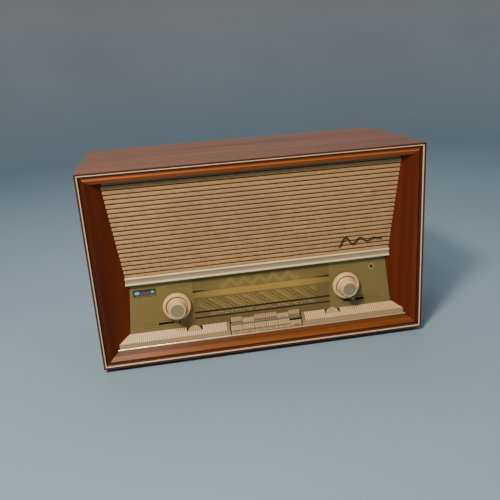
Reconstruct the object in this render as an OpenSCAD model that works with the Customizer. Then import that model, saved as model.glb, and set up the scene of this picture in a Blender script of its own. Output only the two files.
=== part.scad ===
// Table-top valve radio: a splayed wooden cabinet, ribbed cloth front, glass dial,
// two rows of push keys, two pairs of concentric knobs and the works behind them.
// Millimetres. Origin under the middle of the feet, +Z up, the front faces -Y.

/* [Cabinet] */
// Overall width
body_w = 626; // [600:2:660]
// Height of the cabinet without its feet
body_h = 369; // [360:1:390]
// Overall depth
body_d = 278; // [270:2:320]
// Thickness of the top, bottom and side boards
board_t = 10; // [9:1:12]
// Radius of the rear corners, seen from above
corner_r = 28; // [24:1:32]
// Height of the feet
foot_h = 8; // [6:1:14]
// Radius of a foot
foot_r = 14; // [10:1:18]

/* [Front] */
// Edge of the boards left showing outside the piping
edge_w = 3; // [2.5:0.5:4]
// Width of the ivory piping
piping_w = 2.4; // [2:0.2:3.6]
// Width of the front frame, piping included
frame_w = 17.5; // [16:0.5:18]
// Height of the cloth panel's lower edge above the lower piping
cloth_low = 150.5; // [149.8:0.1:152]
// Number of cones behind the cloth beside the main one
tweeter_count = 2; // [1:1:2]

/* [Keys] */
// Keys in each row
key_count = 6; // [6:1:6]
// Distance from one key to the next in the upper row
upper_pitch = 22.8; // [22.2:0.1:22.9]
// Distance from one key to the next in the lower row
lower_pitch = 23.3; // [22.8:0.1:23.3]
// Gap between neighbouring keys
key_gap = 0.6; // [0.4:0.1:1]
// Angle that an upper key turns through when it is pushed down
upper_travel = 4.5; // [3:0.5:4.5]
// Angle that a lower key turns through when it is pushed down
lower_travel = 6; // [4:0.5:6]

/* [Controls] */
// Distance of each knob from the middle
knob_x = 166; // [162:1:170]
// Height of the knobs above the lower piping
knob_z = 95.5; // [92:0.5:100]
// Radius of the outer ring knobs
ring_r = 26.8; // [26:0.2:27]
// Radius of the control shafts
shaft_r = 3; // [3:0.1:3.2]
// Running clearance of a shaft or pivot in its hole
fit = 0.05; // [0.03:0.01:0.08]
// Distance of each thumbwheel from the middle
wheel_x = 137; // [130:1:140]
// Radius of the thumbwheels
wheel_r = 14; // [13:0.5:14]
// Number of grip ribs on a thumbwheel
wheel_ribs = 36; // [24:4:40]

/* [Hidden] */
$fn = 64;
eps = 0.5;
front = -body_d / 2;
floor_z = foot_h + edge_w;
face_w = body_w - 2 * edge_w;
face_h = body_h - 2 * edge_w;
rebate_d = 12;
gap = 0.3;

// The splayed side boards: half width of the recess at a depth y behind the front.
splay_a = 304;
splay_k = 1.5;
splay_t = 6;
splay_end = 38;
lip_y = 7.7;

// The dial glass leans back and the cloth panel leans forward by about the same angle.
dial_y = 30;
dial_z = 50;
dial_tilt = 4.05;
glass_t = 3;
glass_h = 97;
cloth_y = 32.35;
cloth_tilt = 4.08;
cloth_t = 2.5;
baffle_t = 8;
cloth_h = 195;

// Places of the speakers behind the cloth.
speaker_x = -69;
speaker_z = 110;
speaker_w = 216;
speaker_ratio = 0.6;
tweeter_r = 26;
tweeter_x = [205, -216];
tweeter_z = 118;

// Ivory shelf under the dial.
shelf_y = 15.5;
shelf_low = 27.7;
shelf_edge = 36;
shelf_back_y = 29.6;
shelf_back_z = 49.4;
shelf_t = 2.4;
trim_low = 24.4;
trim_h = 3;
wheel_z = 37.5;
wheel_y0 = 23.4;
wheel_y1 = 29;

// Key levers and their pivots.
pivot_y = 72;
upper_pivot_z = 43.5;
lower_pivot_z = 30;
pivot_r = 1.5;
bank_x = 2;
bank_half = key_count * lower_pitch / 2;
upper_pressed = [2, 5];
lower_pressed = [6];

// Planes of the dial drive, measured back from the front.
plate_y = 46;
plate_t = 1;
pulley_y = 50.1;
fm_cord_y = 52.6;
drum_y = 56;
pulley_r = 6;
pulley_x = 130;
pulley_z = 137;
drum_r = 57.3;
drum_x = 40;
drum_z = 120;
spool_r = 4;
fm_spool_r = 6;
post_r = 4;
post_x = 118;
post_z = 138.6;
cord_r = 0.5;
cord_clear = 0.9;
cord_sides = 8;

// Chassis tray.
tray_x = 235;
tray_y = 64;
tray_d = 170;
tray_low = 24;
tray_h = 50;
sheet_t = 1.5;
tray_top = tray_low + tray_h;

// ---- Helpers: y is measured back from the front, z up from the lower piping line ----

module place(x, y, z) {
    translate([x, front + y, floor_z + z]) children();
}

// A block given by its limits across, in depth and in height.
module block(x0, x1, y0, y1, z0, z1) {
    place(x0, y0, z0) cube([x1 - x0, y1 - y0, z1 - z0]);
}

// A round bar along the depth, from y0 to y1.
module bar_y(x, z, r, y0, y1) {
    place(x, y0, z) rotate([-90, 0, 0]) cylinder(r = r, h = y1 - y0);
}

// A round bar across, from x0 to x1.
module bar_x(y, z, r, x0, x1) {
    place(x0, y, z) rotate([0, 90, 0]) cylinder(r = r, h = x1 - x0);
}

// An outline of [y, z] points drawn across from x0 to x1.
module across(x0, x1, outline) {
    place(x0, 0, 0) rotate([90, 0, 90]) linear_extrude(x1 - x0) polygon(outline);
}

// An outline of [radius, y] points turned about a shaft line at x, z.
module turned(x, z, outline) {
    place(x, 0, z) rotate([-90, 0, 0]) rotate_extrude() polygon(outline);
}

// Children in the plane of the glass or of the cloth: y is square to it, z runs up it.
module on_dial() {
    place(0, dial_y, dial_z) rotate([-dial_tilt, 0, 0]) children();
}

module on_cloth() {
    place(0, cloth_y, cloth_low) rotate([cloth_tilt, 0, 0]) children();
}

// The space between the splayed boards, closed in by a clearance.
module recess(clear) {
    deep = 70;
    place(0, 0, 0) linear_extrude(face_h)
        polygon([[-splay_a + clear, 0], [splay_a - clear, 0],
                 [splay_a - splay_k * deep - clear, deep],
                 [-splay_a + splay_k * deep + clear, deep]]);
}

// Cabinet outline from above, drawn in by a margin, with the rear corners rounded.
module plan(inset) {
    w = body_w / 2 - inset;
    back = body_d / 2 - inset;
    r = corner_r - inset;
    translate([-w, front - eps]) square([2 * w, back - front + eps - r]);
    translate([-w + r, front - eps]) square([2 * (w - r), back - front + eps]);
    for (side = [-1, 1]) translate([side * (w - r), back - r]) circle(r);
}

module cabinet_block(z0, h) {
    intersection() {
        translate([0, 0, z0]) linear_extrude(h) plan(0);
        translate([-body_w, front, z0]) cube([2 * body_w, body_d, h]);
    }
}

// Room for the frame and the piping in the front edges of the boards.
module front_rebate() {
    block(-face_w / 2, face_w / 2, -eps, rebate_d, 0, face_h);
}

// ---- Cabinet ----

module cabinet_top() {
    color("#7a5240") difference() {
        cabinet_block(foot_h + body_h - board_t, board_t);
        front_rebate();
    }
}

module cabinet_bottom() {
    vent_rows = 5;
    color("#5b3220") difference() {
        cabinet_block(foot_h, board_t);
        front_rebate();
        for (row = [1 : vent_rows])
            translate([-90, row * 14, foot_h - eps]) cube([180, 5, board_t + 2 * eps]);
    }
}

// A side board bends round the rear corner and ends in a rebated lip for the back.
module side_board(side) {
    lip_x = 270;
    lip_in = 6.5;
    h = body_h - 2 * board_t;
    color("#5f3018") difference() {
        intersection() {
            translate([0, 0, foot_h + board_t]) linear_extrude(h) difference() {
                plan(0);
                plan(board_t);
            }
            translate([side > 0 ? lip_x : -lip_x - 100, front, 0]) cube([100, body_d, 500]);
        }
        front_rebate();
        translate([-282, body_d / 2 - lip_in, 0]) cube([564, 20, 500]);
        for (z = screw_heights)
            translate([side * screw_x, body_d / 2, z]) rotate([90, 0, 0]) cylinder(r = 1.6, h = 30);
    }
}

module side_left() { side_board(-1); }
module side_right() { side_board(1); }

// A mitred frame round the face from an outline of [inward, depth] points.
module frame_ring(outline) {
    place(0, 0, face_h / 2) for (turn = [0, 90, 180, 270]) {
        long = turn % 180 == 0 ? face_w : face_h;
        high = turn % 180 == 0 ? face_h : face_w;
        rotate([0, turn, 0]) intersection() {
            translate([-long / 2, 0, high / 2]) rotate([90, 0, 90]) linear_extrude(long)
                polygon([for (p = outline) [p[1], -p[0]]]);
            frame_wedge(long, high);
        }
    }
}

// The wedge between two mitre lines, short of its neighbours by a hair.
module frame_wedge(long, high) {
    deep = 40;
    hair = 0.02;
    translate([0, deep, 0]) rotate([90, 0, 0]) linear_extrude(2 * deep)
        polygon([[hair - long / 2, high / 2], [long / 2 - hair, high / 2],
                 [long / 2 - hair - deep, high / 2 - deep],
                 [hair - long / 2 + deep, high / 2 - deep]]);
}

module front_frame() {
    cove_in = piping_w + 0.2;
    cove_out = 9;
    cove_deep = 4.6;
    cove_edge = 2.2;
    steps = 6;
    mid = (cove_in + cove_out) / 2;
    half = (cove_out - cove_in) / 2;
    cove = [for (i = [0 : steps]) let (a = 180 * i / steps)
        [mid - half * cos(a), cove_edge + (cove_deep - cove_edge) * sin(a)]];
    color("#6e3216") frame_ring(concat(cove, [
        [cove_out + 0.8, 1.4], [cove_out + 1.6, 1.6], [frame_w, lip_y],
        [frame_w, rebate_d - 0.2], [cove_in, rebate_d - 0.2]]));
}

module edge_piping() {
    steps = 6;
    r = piping_w / 2;
    bead = [for (i = [0 : steps]) let (a = 180 * i / steps) [r - (r - 0.1) * cos(a), r - r * sin(a)]];
    color("#d8cdb8") frame_ring(concat(bead, [[piping_w - 0.1, 8], [0.1, 8]]));
}

// Side boards of the recess, the sill below them and the soffit above the cloth.
module splay_boards() {
    back = splay_t / sqrt(1 + splay_k * splay_k);
    edge_a = face_w / 2 - frame_w - 0.2;
    edge_y = (splay_a - edge_a) / splay_k;
    end_a = splay_a - splay_k * splay_end;
    end_back = [end_a + back, splay_end + back * splay_k];
    low = frame_w + 0.2;
    color("#5a2810") {
        for (side = [-1, 1]) place(0, 0, low) linear_extrude(face_h - 2 * low)
            polygon([[side * edge_a, edge_y], [side * end_a, splay_end],
                     [side * end_back[0], end_back[1]],
                     [side * edge_a, end_back[1] - (edge_a - end_back[0]) / splay_k]]);
        intersection() {
            across(-300, 300, [[lip_y + 0.2, low], [14, trim_low - 0.2], [15.2, trim_low - 0.2],
                               [15.2, 12], [rebate_d + gap, 12], [rebate_d + gap, low]]);
            recess(gap);
        }
        intersection() {
            block(-300, 300, rebate_d, 17.5, face_h - frame_w + 0.1, face_h - 12);
            recess(gap);
        }
    }
}

// ---- Cloth panel and speakers ----

module oval_hole(scale_up) {
    translate([speaker_x, 0, speaker_z]) rotate([-90, 0, 0]) linear_extrude(60, center = true)
        stadium(speaker_w * scale_up, speaker_w * speaker_ratio * scale_up);
}

// A long round-ended outline.
module stadium(w, h) {
    square([w - h, h], center = true);
    for (side = [-1, 1]) translate([side * (w - h) / 2, 0]) circle(h / 2);
}

module baffle_board() {
    color("#8a6a48") intersection() {
        difference() {
            on_cloth() translate([-290, cloth_t + 0.1, 0]) cube([580, baffle_t, cloth_h]);
            on_cloth() oval_hole(1);
            for (i = [0 : tweeter_count - 1])
                on_cloth() translate([tweeter_x[i], 0, tweeter_z]) rotate([-90, 0, 0])
                    cylinder(r = tweeter_r - 4, h = 60, center = true);
        }
        recess(gap);
    }
}

module speaker_cloth() {
    color("#c4a67e") intersection() {
        on_cloth() translate([-290, 0, 0]) cube([580, cloth_t, cloth_h]);
        recess(gap);
    }
}

// Gilt strip with two ridges that hides the joint of glass and cloth.
module divider_strip() {
    half = 255.5;
    color("#d9cfa8") intersection() {
        across(-half, half, [[30.2, 146], [28.4, 147], [27.8, 148.6], [28.4, 150], [29.8, 150.6],
                             [30.2, 153], [30.2, 156], [29.6, 158.4], [28.4, 159], [27.9, 160.2],
                             [28.6, 161.4], [30.6, 161.8], [31.3, 161.8], [31.3, 149.8],
                             [33.6, 149.8], [35.6, 147.2], [35.6, 146]]);
        recess(gap);
    }
}

module main_speaker() {
    basket_t = 2;
    h = speaker_w * speaker_ratio;
    color("#8d8f92") on_cloth() translate([speaker_x, cloth_t + baffle_t + 0.1, speaker_z])
        rotate([-90, 0, 0]) {
            difference() {
                union() {
                    linear_extrude(basket_t) stadium(speaker_w + 22, h + 18);
                    linear_extrude(36) stadium(speaker_w - 4, h - 4);
                    translate([0, 0, 36]) cylinder(r = 42, h = 12);
                    translate([0, 0, 48]) cylinder(r = 32, h = 26);
                }
                translate([0, 0, -eps]) linear_extrude(34 + eps) stadium(speaker_w - 7, h - 7);
                translate([0, 0, 30]) cylinder(r = 13, h = 24);
            }
        }
}

module speaker_cone() {
    h = speaker_w * speaker_ratio;
    color("#2b2724") on_cloth() translate([speaker_x, cloth_t + baffle_t + 0.1, speaker_z])
        rotate([-90, 0, 0]) difference() {
            union() {
                linear_extrude(2) stadium(speaker_w - 7.6, h - 7.6);
                translate([0, 0, 2]) cylinder(r1 = 58, r2 = 14, h = 30);
                translate([0, 0, 32]) cylinder(r = 12.5, h = 14);
            }
            translate([0, 0, -0.2]) cylinder(r1 = 58, r2 = 14, h = 30);
        }
}

module tweeters() {
    color("#77797c") on_cloth() for (i = [0 : tweeter_count - 1])
        translate([tweeter_x[i], cloth_t + baffle_t + 0.1, tweeter_z]) rotate([-90, 0, 0])
            difference() {
                union() {
                    cylinder(r = tweeter_r, h = 2);
                    cylinder(r = tweeter_r - 4, h = 16);
                    cylinder(r = 14, h = 28);
                }
                translate([0, 0, -eps]) cylinder(r1 = tweeter_r - 6, r2 = 8, h = 13);
            }
}

// ---- Dial ----

module dial_glass() {
    eye_x = -223;
    eye_up = 77;
    color("#7d7647") intersection() {
        difference() {
            on_dial() translate([-270, 0, 47.6 - dial_z]) cube([540, glass_t, glass_h]);
            for (side = [-1, 1]) {
                bar_y(side * knob_x, knob_z, 8, 10, 60);
                on_dial() translate([side * 183 - 21, -1, 9.4]) cube([42, 9, 5]);
            }
            on_dial() translate([eye_x - 20, -1, eye_up - 6]) cube([40, 9, 12]);
        }
        recess(gap);
    }
}

// White lamp plate behind the glass, with two guide posts for the second cord.
module dial_reflector() {
    half = 188;
    low = 53;
    top = 143;
    color("#e6e2d4") {
        difference() {
            union() {
                block(-half, half, plate_y, plate_y + plate_t, low, top - 0.6);
                for (side = [-1, 1]) {
                    bar_y(side * pulley_x, pulley_z, pulley_r - 3, plate_y, pulley_y - 1.4);
                    bar_y(side * pulley_x, pulley_z, 1.5, plate_y, pulley_y + 1.5);
                    bar_y(side * post_x, post_z, post_r, plate_y, fm_cord_y + 0.8);
                    block(side * (half - 8) - 6, side * (half - 8) + 6, plate_y, 62, 56, 58);
                }
            }
            for (side = [-1, 1]) bar_y(side * knob_x, knob_z, 8, 40, 60);
        }
    }
}

// Indicator valve lying behind its window, with two glowing ends.
module tuning_eye() {
    r = 10.5;
    color("#9fd8cf") {
        bar_x(54.5, 127, r, -250, -198);
        bar_x(54.5, 127, r - 2, -198.5, -190);
    }
}

// A needle in front of the lamp plate and an arm over its top edge to the cord.
module am_pointer() {
    color("#b8402a") {
        block(-0.6, 0.6, 44, 44.8, 60, 144.6);
        block(-2, 2, 44, pulley_y + 0.1, 144.6, 145.6);
        block(-2, 2, pulley_y - 1.6, pulley_y - 0.7, 142.9, 145);
    }
}

module fm_pointer() {
    x = 36;
    color("#b8402a") {
        block(x - 0.6, x + 0.6, 41.4, 42.2, 60, 147);
        block(x - 2, x + 2, 41.4, fm_cord_y + 1.6, 147, 148);
        block(x - 2, x + 2, fm_cord_y + 0.7, fm_cord_y + 1.6, 142.5, 147.5);
    }
}

// A grooved wheel on a shaft line, with its groove in the plane y.
module grooved(x, z, r, y, rim, bore) {
    turned(x, z, [[bore, y - 1.2], [r + rim, y - 1.2], [r + rim, y - 0.9], [r, y - 0.4],
                  [r, y + 0.4], [r + rim, y + 0.9], [r + rim, y + 1.2], [bore, y + 1.2]]);
}

module pulley(side) {
    color("#c9b27a") grooved(side * pulley_x, pulley_z, pulley_r, pulley_y, 1.4, 1.5 + fit);
}

module pulley_left() { pulley(-1); }
module pulley_right() { pulley(1); }

module drive_drum() {
    window_r = 17;
    color("#b9b4a6") difference() {
        union() {
            grooved(drum_x, drum_z, drum_r, drum_y, 1.6, 3 + fit);
            bar_y(drum_x, drum_z, 8, drum_y, drum_y + 5);
        }
        bar_y(drum_x, drum_z, 3 + fit, 40, 80);
        for (a = [45 : 90 : 315])
            bar_y(drum_x + 32 * cos(a), drum_z + 32 * sin(a), window_r, 40, 80);
    }
}

// A belt round circles [x, z, radius, y], all inside the loop: where it leaves one for the next.
function off_angle(a, b) =
    atan2(b[1] - a[1], b[0] - a[0]) - 90 + asin((a[2] - b[2]) / norm([b[0] - a[0], b[1] - a[1]]));

function wrap(a) = a < 0 ? wrap(a + 360) : (a >= 360 ? wrap(a - 360) : a);

function arc_points(before, c, after, step = 18) =
    let (a0 = off_angle(before, c), span = wrap(off_angle(c, after) - a0), n = ceil(span / step))
    [for (i = [0 : n]) let (a = a0 + span * i / n)
        [c[0] + c[2] * cos(a), front + c[3], floor_z + c[1] + c[2] * sin(a)]];

function belt(c) =
    let (n = len(c)) [for (i = [0 : n - 1]) each arc_points(c[(i + n - 1) % n], c[i], c[(i + 1) % n])];

// One closed tube along a belt's points.
module belt_tube(path) {
    n = len(path);
    ring = [for (i = [0 : n - 1])
        let (d = path[(i + 1) % n] - path[(i + n - 1) % n], t = d / norm(d),
             out = cross(t, [0, 1, 0]), u = out / norm(out))
        for (k = [0 : cord_sides - 1]) let (a = 360 * k / cord_sides)
            path[i] + cord_r * (cos(a) * u + sin(a) * cross(t, u))];
    faces = [for (i = [0 : n - 1]) for (k = [0 : cord_sides - 1])
        let (a = i * cord_sides, b = ((i + 1) % n) * cord_sides, k1 = (k + 1) % cord_sides)
        each [[a + k, b + k, b + k1], [a + k, b + k1, a + k1]]];
    polyhedron(ring, faces);
}

module dial_cord() {
    color("#d8c79a") {
        belt_tube(belt([
            [pulley_x, pulley_z, pulley_r + cord_clear, pulley_y],
            [-pulley_x, pulley_z, pulley_r + cord_clear, pulley_y],
            [drum_x, drum_z, drum_r + cord_clear, drum_y],
            [knob_x, knob_z, spool_r + cord_clear, drum_y]]));
        belt_tube(belt([
            [post_x, post_z, post_r + cord_clear, fm_cord_y],
            [-post_x, post_z, post_r + cord_clear, fm_cord_y],
            [knob_x, knob_z, fm_spool_r + cord_clear, fm_cord_y]]));
    }
}

// ---- Shelf, keys and thumbwheels ----

module shelf_shell() {
    slope = (shelf_back_z - shelf_edge) / (shelf_back_y - shelf_y);
    across(-300, 300, [[shelf_y, shelf_low], [shelf_y, shelf_edge], [shelf_back_y, shelf_back_z],
                       [shelf_back_y, shelf_back_z - shelf_t - 1],
                       [shelf_y + shelf_t, shelf_edge - shelf_t - 1 + slope * shelf_t],
                       [shelf_y + shelf_t, shelf_low]]);
}

module key_shelf() {
    wall_in = bank_half + 1.8;
    wall_t = 1.6;
    slot_half = wheel_r + 0.8;
    low = 17;
    color("#cfc0a0") intersection() {
        union() {
            difference() {
                shelf_shell();
                block(bank_x - wall_in, bank_x + wall_in, 0, 60, 20, 60);
                for (side = [-1, 1])
                    block(side * wheel_x - slot_half, side * wheel_x + slot_half,
                          wheel_y0 - 0.5, 60, 20, 60);
            }
            for (side = [-1, 1]) across(bank_x + (side > 0 ? wall_in : -wall_in - wall_t),
                bank_x + (side > 0 ? wall_in + wall_t : -wall_in),
                [[shelf_y, low], [shelf_y, shelf_edge], [shelf_back_y, shelf_back_z],
                 [shelf_back_y, low]]);
            block(bank_x - wall_in, bank_x + wall_in, shelf_y, shelf_back_y, low, low + 2.2);
        }
        recess(gap);
    }
}

module shelf_trim() {
    color("#d8b66a") intersection() {
        across(-300, 300, [[13.6, trim_low], [13, trim_low + 0.6], [13, trim_low + trim_h - 0.6],
                           [13.6, trim_low + trim_h], [15.2, trim_low + trim_h],
                           [15.2, trim_low]]);
        recess(gap);
    }
}

function in_list(n, list) = len([for (v = list) if (v == n) v]) > 0;

// A key's cap outline with the lever behind it, bored for its pivot.
module key(index, pitch, pivot_z, pressed, travel, cap, lever_y) {
    w = pitch - key_gap;
    mid = bank_x + (index - (key_count + 1) / 2) * pitch;
    color(pressed ? "#c9bda0" : "#ddd0b2") place(0, pivot_y, pivot_z)
        rotate([pressed ? travel : 0, 0, 0]) place_back(pivot_y, pivot_z) difference() {
            union() {
                across(mid - w / 2, mid + w / 2, cap);
                block(mid - 3, mid + 3, lever_y, pivot_y + 3, pivot_z - 2, pivot_z + 2);
                bar_x(pivot_y, pivot_z, 3.2, mid - 5, mid + 5);
            }
            bar_x(pivot_y, pivot_z, pivot_r + fit, mid - 20, mid + 20);
        }
}

// Undoes place() so that what follows can be turned about that point.
module place_back(y, z) {
    translate([0, -front - y, -floor_z - z]) children();
}

module upper_key(i) {
    key(i, upper_pitch, upper_pivot_z, in_list(i, upper_pressed), upper_travel,
        [[25.2, 40.5], [25, 46.8], [25.7, 49.4], [28, 57.4], [28.8, 58.2], [29.6, 58], [29.6, 46.2],
         [31.5, 45.5], [31.5, 40.5]], 31);
}

module lower_key(i) {
    key(i, lower_pitch, lower_pivot_z, in_list(i, lower_pressed), lower_travel,
        [[15.8, 28.1], [15.8, 33.2], [16.8, 35], [23.4, 42.6], [24.4, 42.6], [24.4, 28.1]], 24);
}

// Side plates, two pivot rods, the front rail between the rows and the switch block.
module key_frame() {
    out = bank_half + 1.4;
    plate = 1;
    color("#8c8a84") {
        for (side = [-1, 1]) {
            x0 = bank_x + (side > 0 ? out - plate : -out);
            across(x0, x0 + plate, [[22.6, 44.6], [22.6, 46.4], [32, 46.4], [110, 46.4],
                                    [110, 20], [33, 20], [33, 44.6]]);
        }
        block(bank_x - out, bank_x + out, 22.6, 23.8, 44.6, 46.4);
        for (z = [upper_pivot_z, lower_pivot_z])
            bar_x(pivot_y, z, pivot_r, bank_x - out, bank_x + out);
        block(bank_x - out, bank_x + out, 84, 110, 22, 46.4);
    }
}

// A ribbed wheel that turns about a line running front to back.
module thumbwheel(side) {
    z = wheel_z;
    color("#ddd0b2") difference() {
        bar_y(side * wheel_x, z, wheel_r, wheel_y0, wheel_y1);
        bar_y(side * wheel_x, z, 2 + fit, 15, 60);
        for (i = [0 : wheel_ribs - 1]) {
            a = 360 * i / wheel_ribs;
            bar_y(side * wheel_x + (wheel_r + 0.1) * cos(a), z + (wheel_r + 0.1) * sin(a), 0.55, 15, 60);
        }
    }
}

module bass_wheel() { thumbwheel(-1); }
module treble_wheel() { thumbwheel(1); }

// A white flag behind a slot in the glass, on a thin rack.
module marker(x) {
    color("#f0ead8") {
        block(x - 4, x + 4, 35.4, 36.4, 56, 66);
        block(x - 4, x + 4, 35.4, 40, 55, 56);
    }
}

module bass_marker() { marker(-169); }
module treble_marker() { marker(183); }

// ---- Knobs and shafts ----

knob_back = 30.6;
ring_front = 20.6;
knob_front = 3;

// Outer ring knob and its hollow shaft.
module ring_knob(x, tube_end, spool) {
    bore = shaft_r + fit;
    tube_r = 5;
    floor_y = 27.4;
    r = ring_r;
    turn_in = [[bore, floor_y], [20.6, floor_y], [20.9, ring_front + 1.8], [21.8, ring_front + 0.5],
               [23.2, ring_front], [24.6, ring_front + 0.5], [r - 1, ring_front + 2],
               [r - 0.2, ring_front + 4.4], [r, knob_back - 1.4], [r - 0.6, knob_back]];
    groove = fm_cord_y;
    spool_part = spool ? [[tube_r, groove - 1.4], [fm_spool_r + 1.4, groove - 1.4],
                          [fm_spool_r, groove - 0.4], [fm_spool_r, groove + 0.4],
                          [fm_spool_r + 1.2, groove + 1.2], [tube_r, groove + 1.2]] : [];
    color("#dccbb0") turned(x, knob_z, concat(turn_in, [[tube_r, knob_back]], spool_part,
        [[tube_r, tube_end], [bore, tube_end]]));
}

// Inner knob: a wide foot, a tapering grip and a sunk face for its cap.
module inner_knob(x) {
    bore = shaft_r + fit;
    color("#e2d2b6") turned(x, knob_z, [
        [0, knob_front + 1], [12.8, knob_front + 1], [13, knob_front + 0.2], [14, knob_front],
        [15, knob_front + 0.5], [15.5, knob_front + 1.6], [16.3, ring_front - 1.2],
        [17, ring_front + 1.4], [18.6, ring_front + 3], [18.9, ring_front + 4.4], [18.6, 26.9], [bore, 26.9],
        [bore, 12], [0, 12]]);
}

module volume_knob() { inner_knob(-knob_x); }
module tuning_knob() { inner_knob(knob_x); }
module balance_ring() { ring_knob(-knob_x, 51.4, false); }
module fm_ring() { ring_knob(knob_x, 54, true); }

module volume_shaft() {
    color("#b8b8b8") bar_y(-knob_x, knob_z, shaft_r, 12.2, 58);
}

// The tuning shaft has a spool for the cord and ends in the chassis bearing.
module tuning_shaft() {
    color("#b8b8b8") {
        bar_y(knob_x, knob_z, shaft_r, 12.2, 68);
        turned(knob_x, knob_z, [[0, 54.4], [6, 54.4], [spool_r, 55.4], [spool_r, 56.6],
                                [6, 57.6], [0, 57.6]]);
    }
}

module potentiometers() {
    color("#6f6a60") {
        difference() {
            union() {
                bar_y(-knob_x, knob_z, 12, 48, 62.4);
                block(-knob_x - 5, -knob_x + 5, 54, 62.4, knob_z - 18, knob_z - 8);
            }
            bar_y(-knob_x, knob_z, 5 + fit, 40, 52);
            bar_y(-knob_x, knob_z, shaft_r + fit, 40, 58.4);
        }
        for (side = [-1, 1]) {
            bar_y(side * wheel_x, wheel_z, 2, wheel_y0 - 0.3, 34);
            bar_y(side * wheel_x, wheel_z, 9, 30, 40);
            block(side * wheel_x - 4, side * wheel_x + 4, 38, 63.6, wheel_z - 4, wheel_z + 4);
        }
    }
}

// ---- Works ----

// Pressed tray with an upright front plate that carries the shafts.
module chassis() {
    color("#9a9a94") difference() {
        union() {
            block(-tray_x, tray_x, tray_y, tray_y + tray_d, tray_low, tray_top);
            block(-205, 205, tray_y, tray_y + sheet_t, tray_top, 112);
            for (sx = [-1, 1]) for (y = [tray_y + 30, tray_y + tray_d - 24])
                place(sx * 215, y, board_t - edge_w) cylinder(r = 7, h = tray_low - board_t + edge_w);
        }
        block(-tray_x + sheet_t, tray_x - sheet_t, tray_y + sheet_t, tray_y + tray_d - sheet_t,
              tray_low - eps, tray_top - sheet_t);
        block(-bank_half - 5, bank_half + 5, 50, 118, tray_low - eps, 50);
        bar_y(knob_x, knob_z, shaft_r + fit, 60, 70);
        bar_y(drum_x, drum_z, 12, 60, 70);
    }
}

// One laminated transformer core with its winding.
module transformer(x, y, w, d, h) {
    block(x - w / 2, x + w / 2, y - d / 4, y + d / 4, tray_top, tray_top + h);
    block(x - w / 3, x + w / 3, y - d / 2, y + d / 2, tray_top + h * 0.22, tray_top + h * 0.78);
}

module transformers() {
    color("#4a4744") {
        transformer(180, 180, 84, 70, 72);
        transformer(-188, 120, 54, 46, 44);
    }
}

valve_places = [[-120, 200], [-70, 206], [-20, 200], [30, 206], [-150, 150], [100, 206]];

// Glass valves on their sockets.
module valves() {
    color("#cfd6d6") for (p = valve_places) place(p[0], p[1], tray_top) {
        cylinder(r = 12, h = 5);
        translate([0, 0, 5]) cylinder(r = 10.5, h = 46);
        translate([0, 0, 51]) cylinder(r1 = 10.5, r2 = 3, h = 8);
    }
}

module chassis_cans() {
    side = 26;
    color("#c3c5c6") {
        for (x = [-60, -10, 120])
            block(x - side / 2, x + side / 2, 142, 142 + side, tray_top, tray_top + 62);
        place(80, 165, tray_top) cylinder(r = 17, h = 74);
    }
}

// Two-gang variable capacitor: fixed frame with stator plates.
module gang_frame() {
    z0 = 98;
    wall = 2;
    x0 = drum_x - 26;
    x1 = drum_x + 26;
    plates = 10;
    color("#b7b9b4") difference() {
        union() {
            block(x0, x1, 68, 70, z0, z0 + 46);
            block(x0, x1, 122, 124, z0, z0 + 46);
            block(x0, x1, 68, 124, z0, z0 + wall);
            block(x0, x0 + wall, 68, 124, z0, z0 + 12);
            for (i = [0 : plates - 1]) block(x0 + 4, drum_x - 5, 74 + 4.6 * i, 75 + 4.6 * i, z0, z0 + 40);
            for (x = [x0 + 4, x1 - 10]) block(x, x + 6, 68, 124, tray_top, z0);
        }
        bar_y(drum_x, drum_z, shaft_r + fit, 60, 130);
    }
}

module gang_rotor() {
    plates = 10;
    vane_r = 20;
    color("#d5d6d0") {
        bar_y(drum_x, drum_z, shaft_r, 52, 126);
        for (i = [0 : plates - 1]) intersection() {
            bar_y(drum_x, drum_z, vane_r, 76.4 + 4.6 * i, 77 + 4.6 * i);
            block(drum_x - 2, drum_x + 30, 70, 124, drum_z - 30, drum_z + 30);
        }
    }
}

// Aerial rod on two posts at the back of the tray.
module ferrite_rod() {
    color("#3a3634") {
        bar_x(222, 160, 5, -200, -20);
        for (x = [-180, -132, -70]) bar_x(222, 160, 7.5, x, x + 30);
        for (x = [-192, -34]) difference() {
            block(x, x + 6, 214, 230, tray_top, 168);
            bar_x(222, 160, 5.05, x - 1, x + 8);
        }
    }
}

// ---- Back ----

back_y = body_d / 2 - 6.5;
back_t = 4;
screw_x = 275.5;
screw_heights = [foot_h + 34, foot_h + body_h / 2, foot_h + body_h - 34];

module back_cover() {
    slot_rows = 9;
    slot_cols = 10;
    color("#6b4a30") difference() {
        translate([-281.4, back_y, foot_h + board_t + 0.5])
            cube([562.8, back_t, body_h - 2 * board_t - 1]);
        for (row = [0 : slot_rows - 1]) for (col = [0 : slot_cols - 1])
            translate([-238 + col * 49, back_y - 1, 150 + row * 20]) cube([36, 8, 6]);
        translate([-122, back_y - 1, 60]) cube([84, 8, 26]);
        translate([200, back_y - 1, 60]) rotate([-90, 0, 0]) cylinder(r = 8 + fit, h = 10);
        for (side = [-1, 1]) for (z = screw_heights)
            translate([side * screw_x, back_y - 1, z]) rotate([-90, 0, 0]) cylinder(r = 1.9, h = 10);
    }
}

module back_screws() {
    color("#b9a66a") for (side = [-1, 1]) for (z = screw_heights)
        translate([side * screw_x, back_y + back_t, z]) {
            rotate([-90, 0, 0]) cylinder(r = 3.8, h = 2);
            rotate([90, 0, 0]) cylinder(r = 1.5, h = 12);
        }
}

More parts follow.
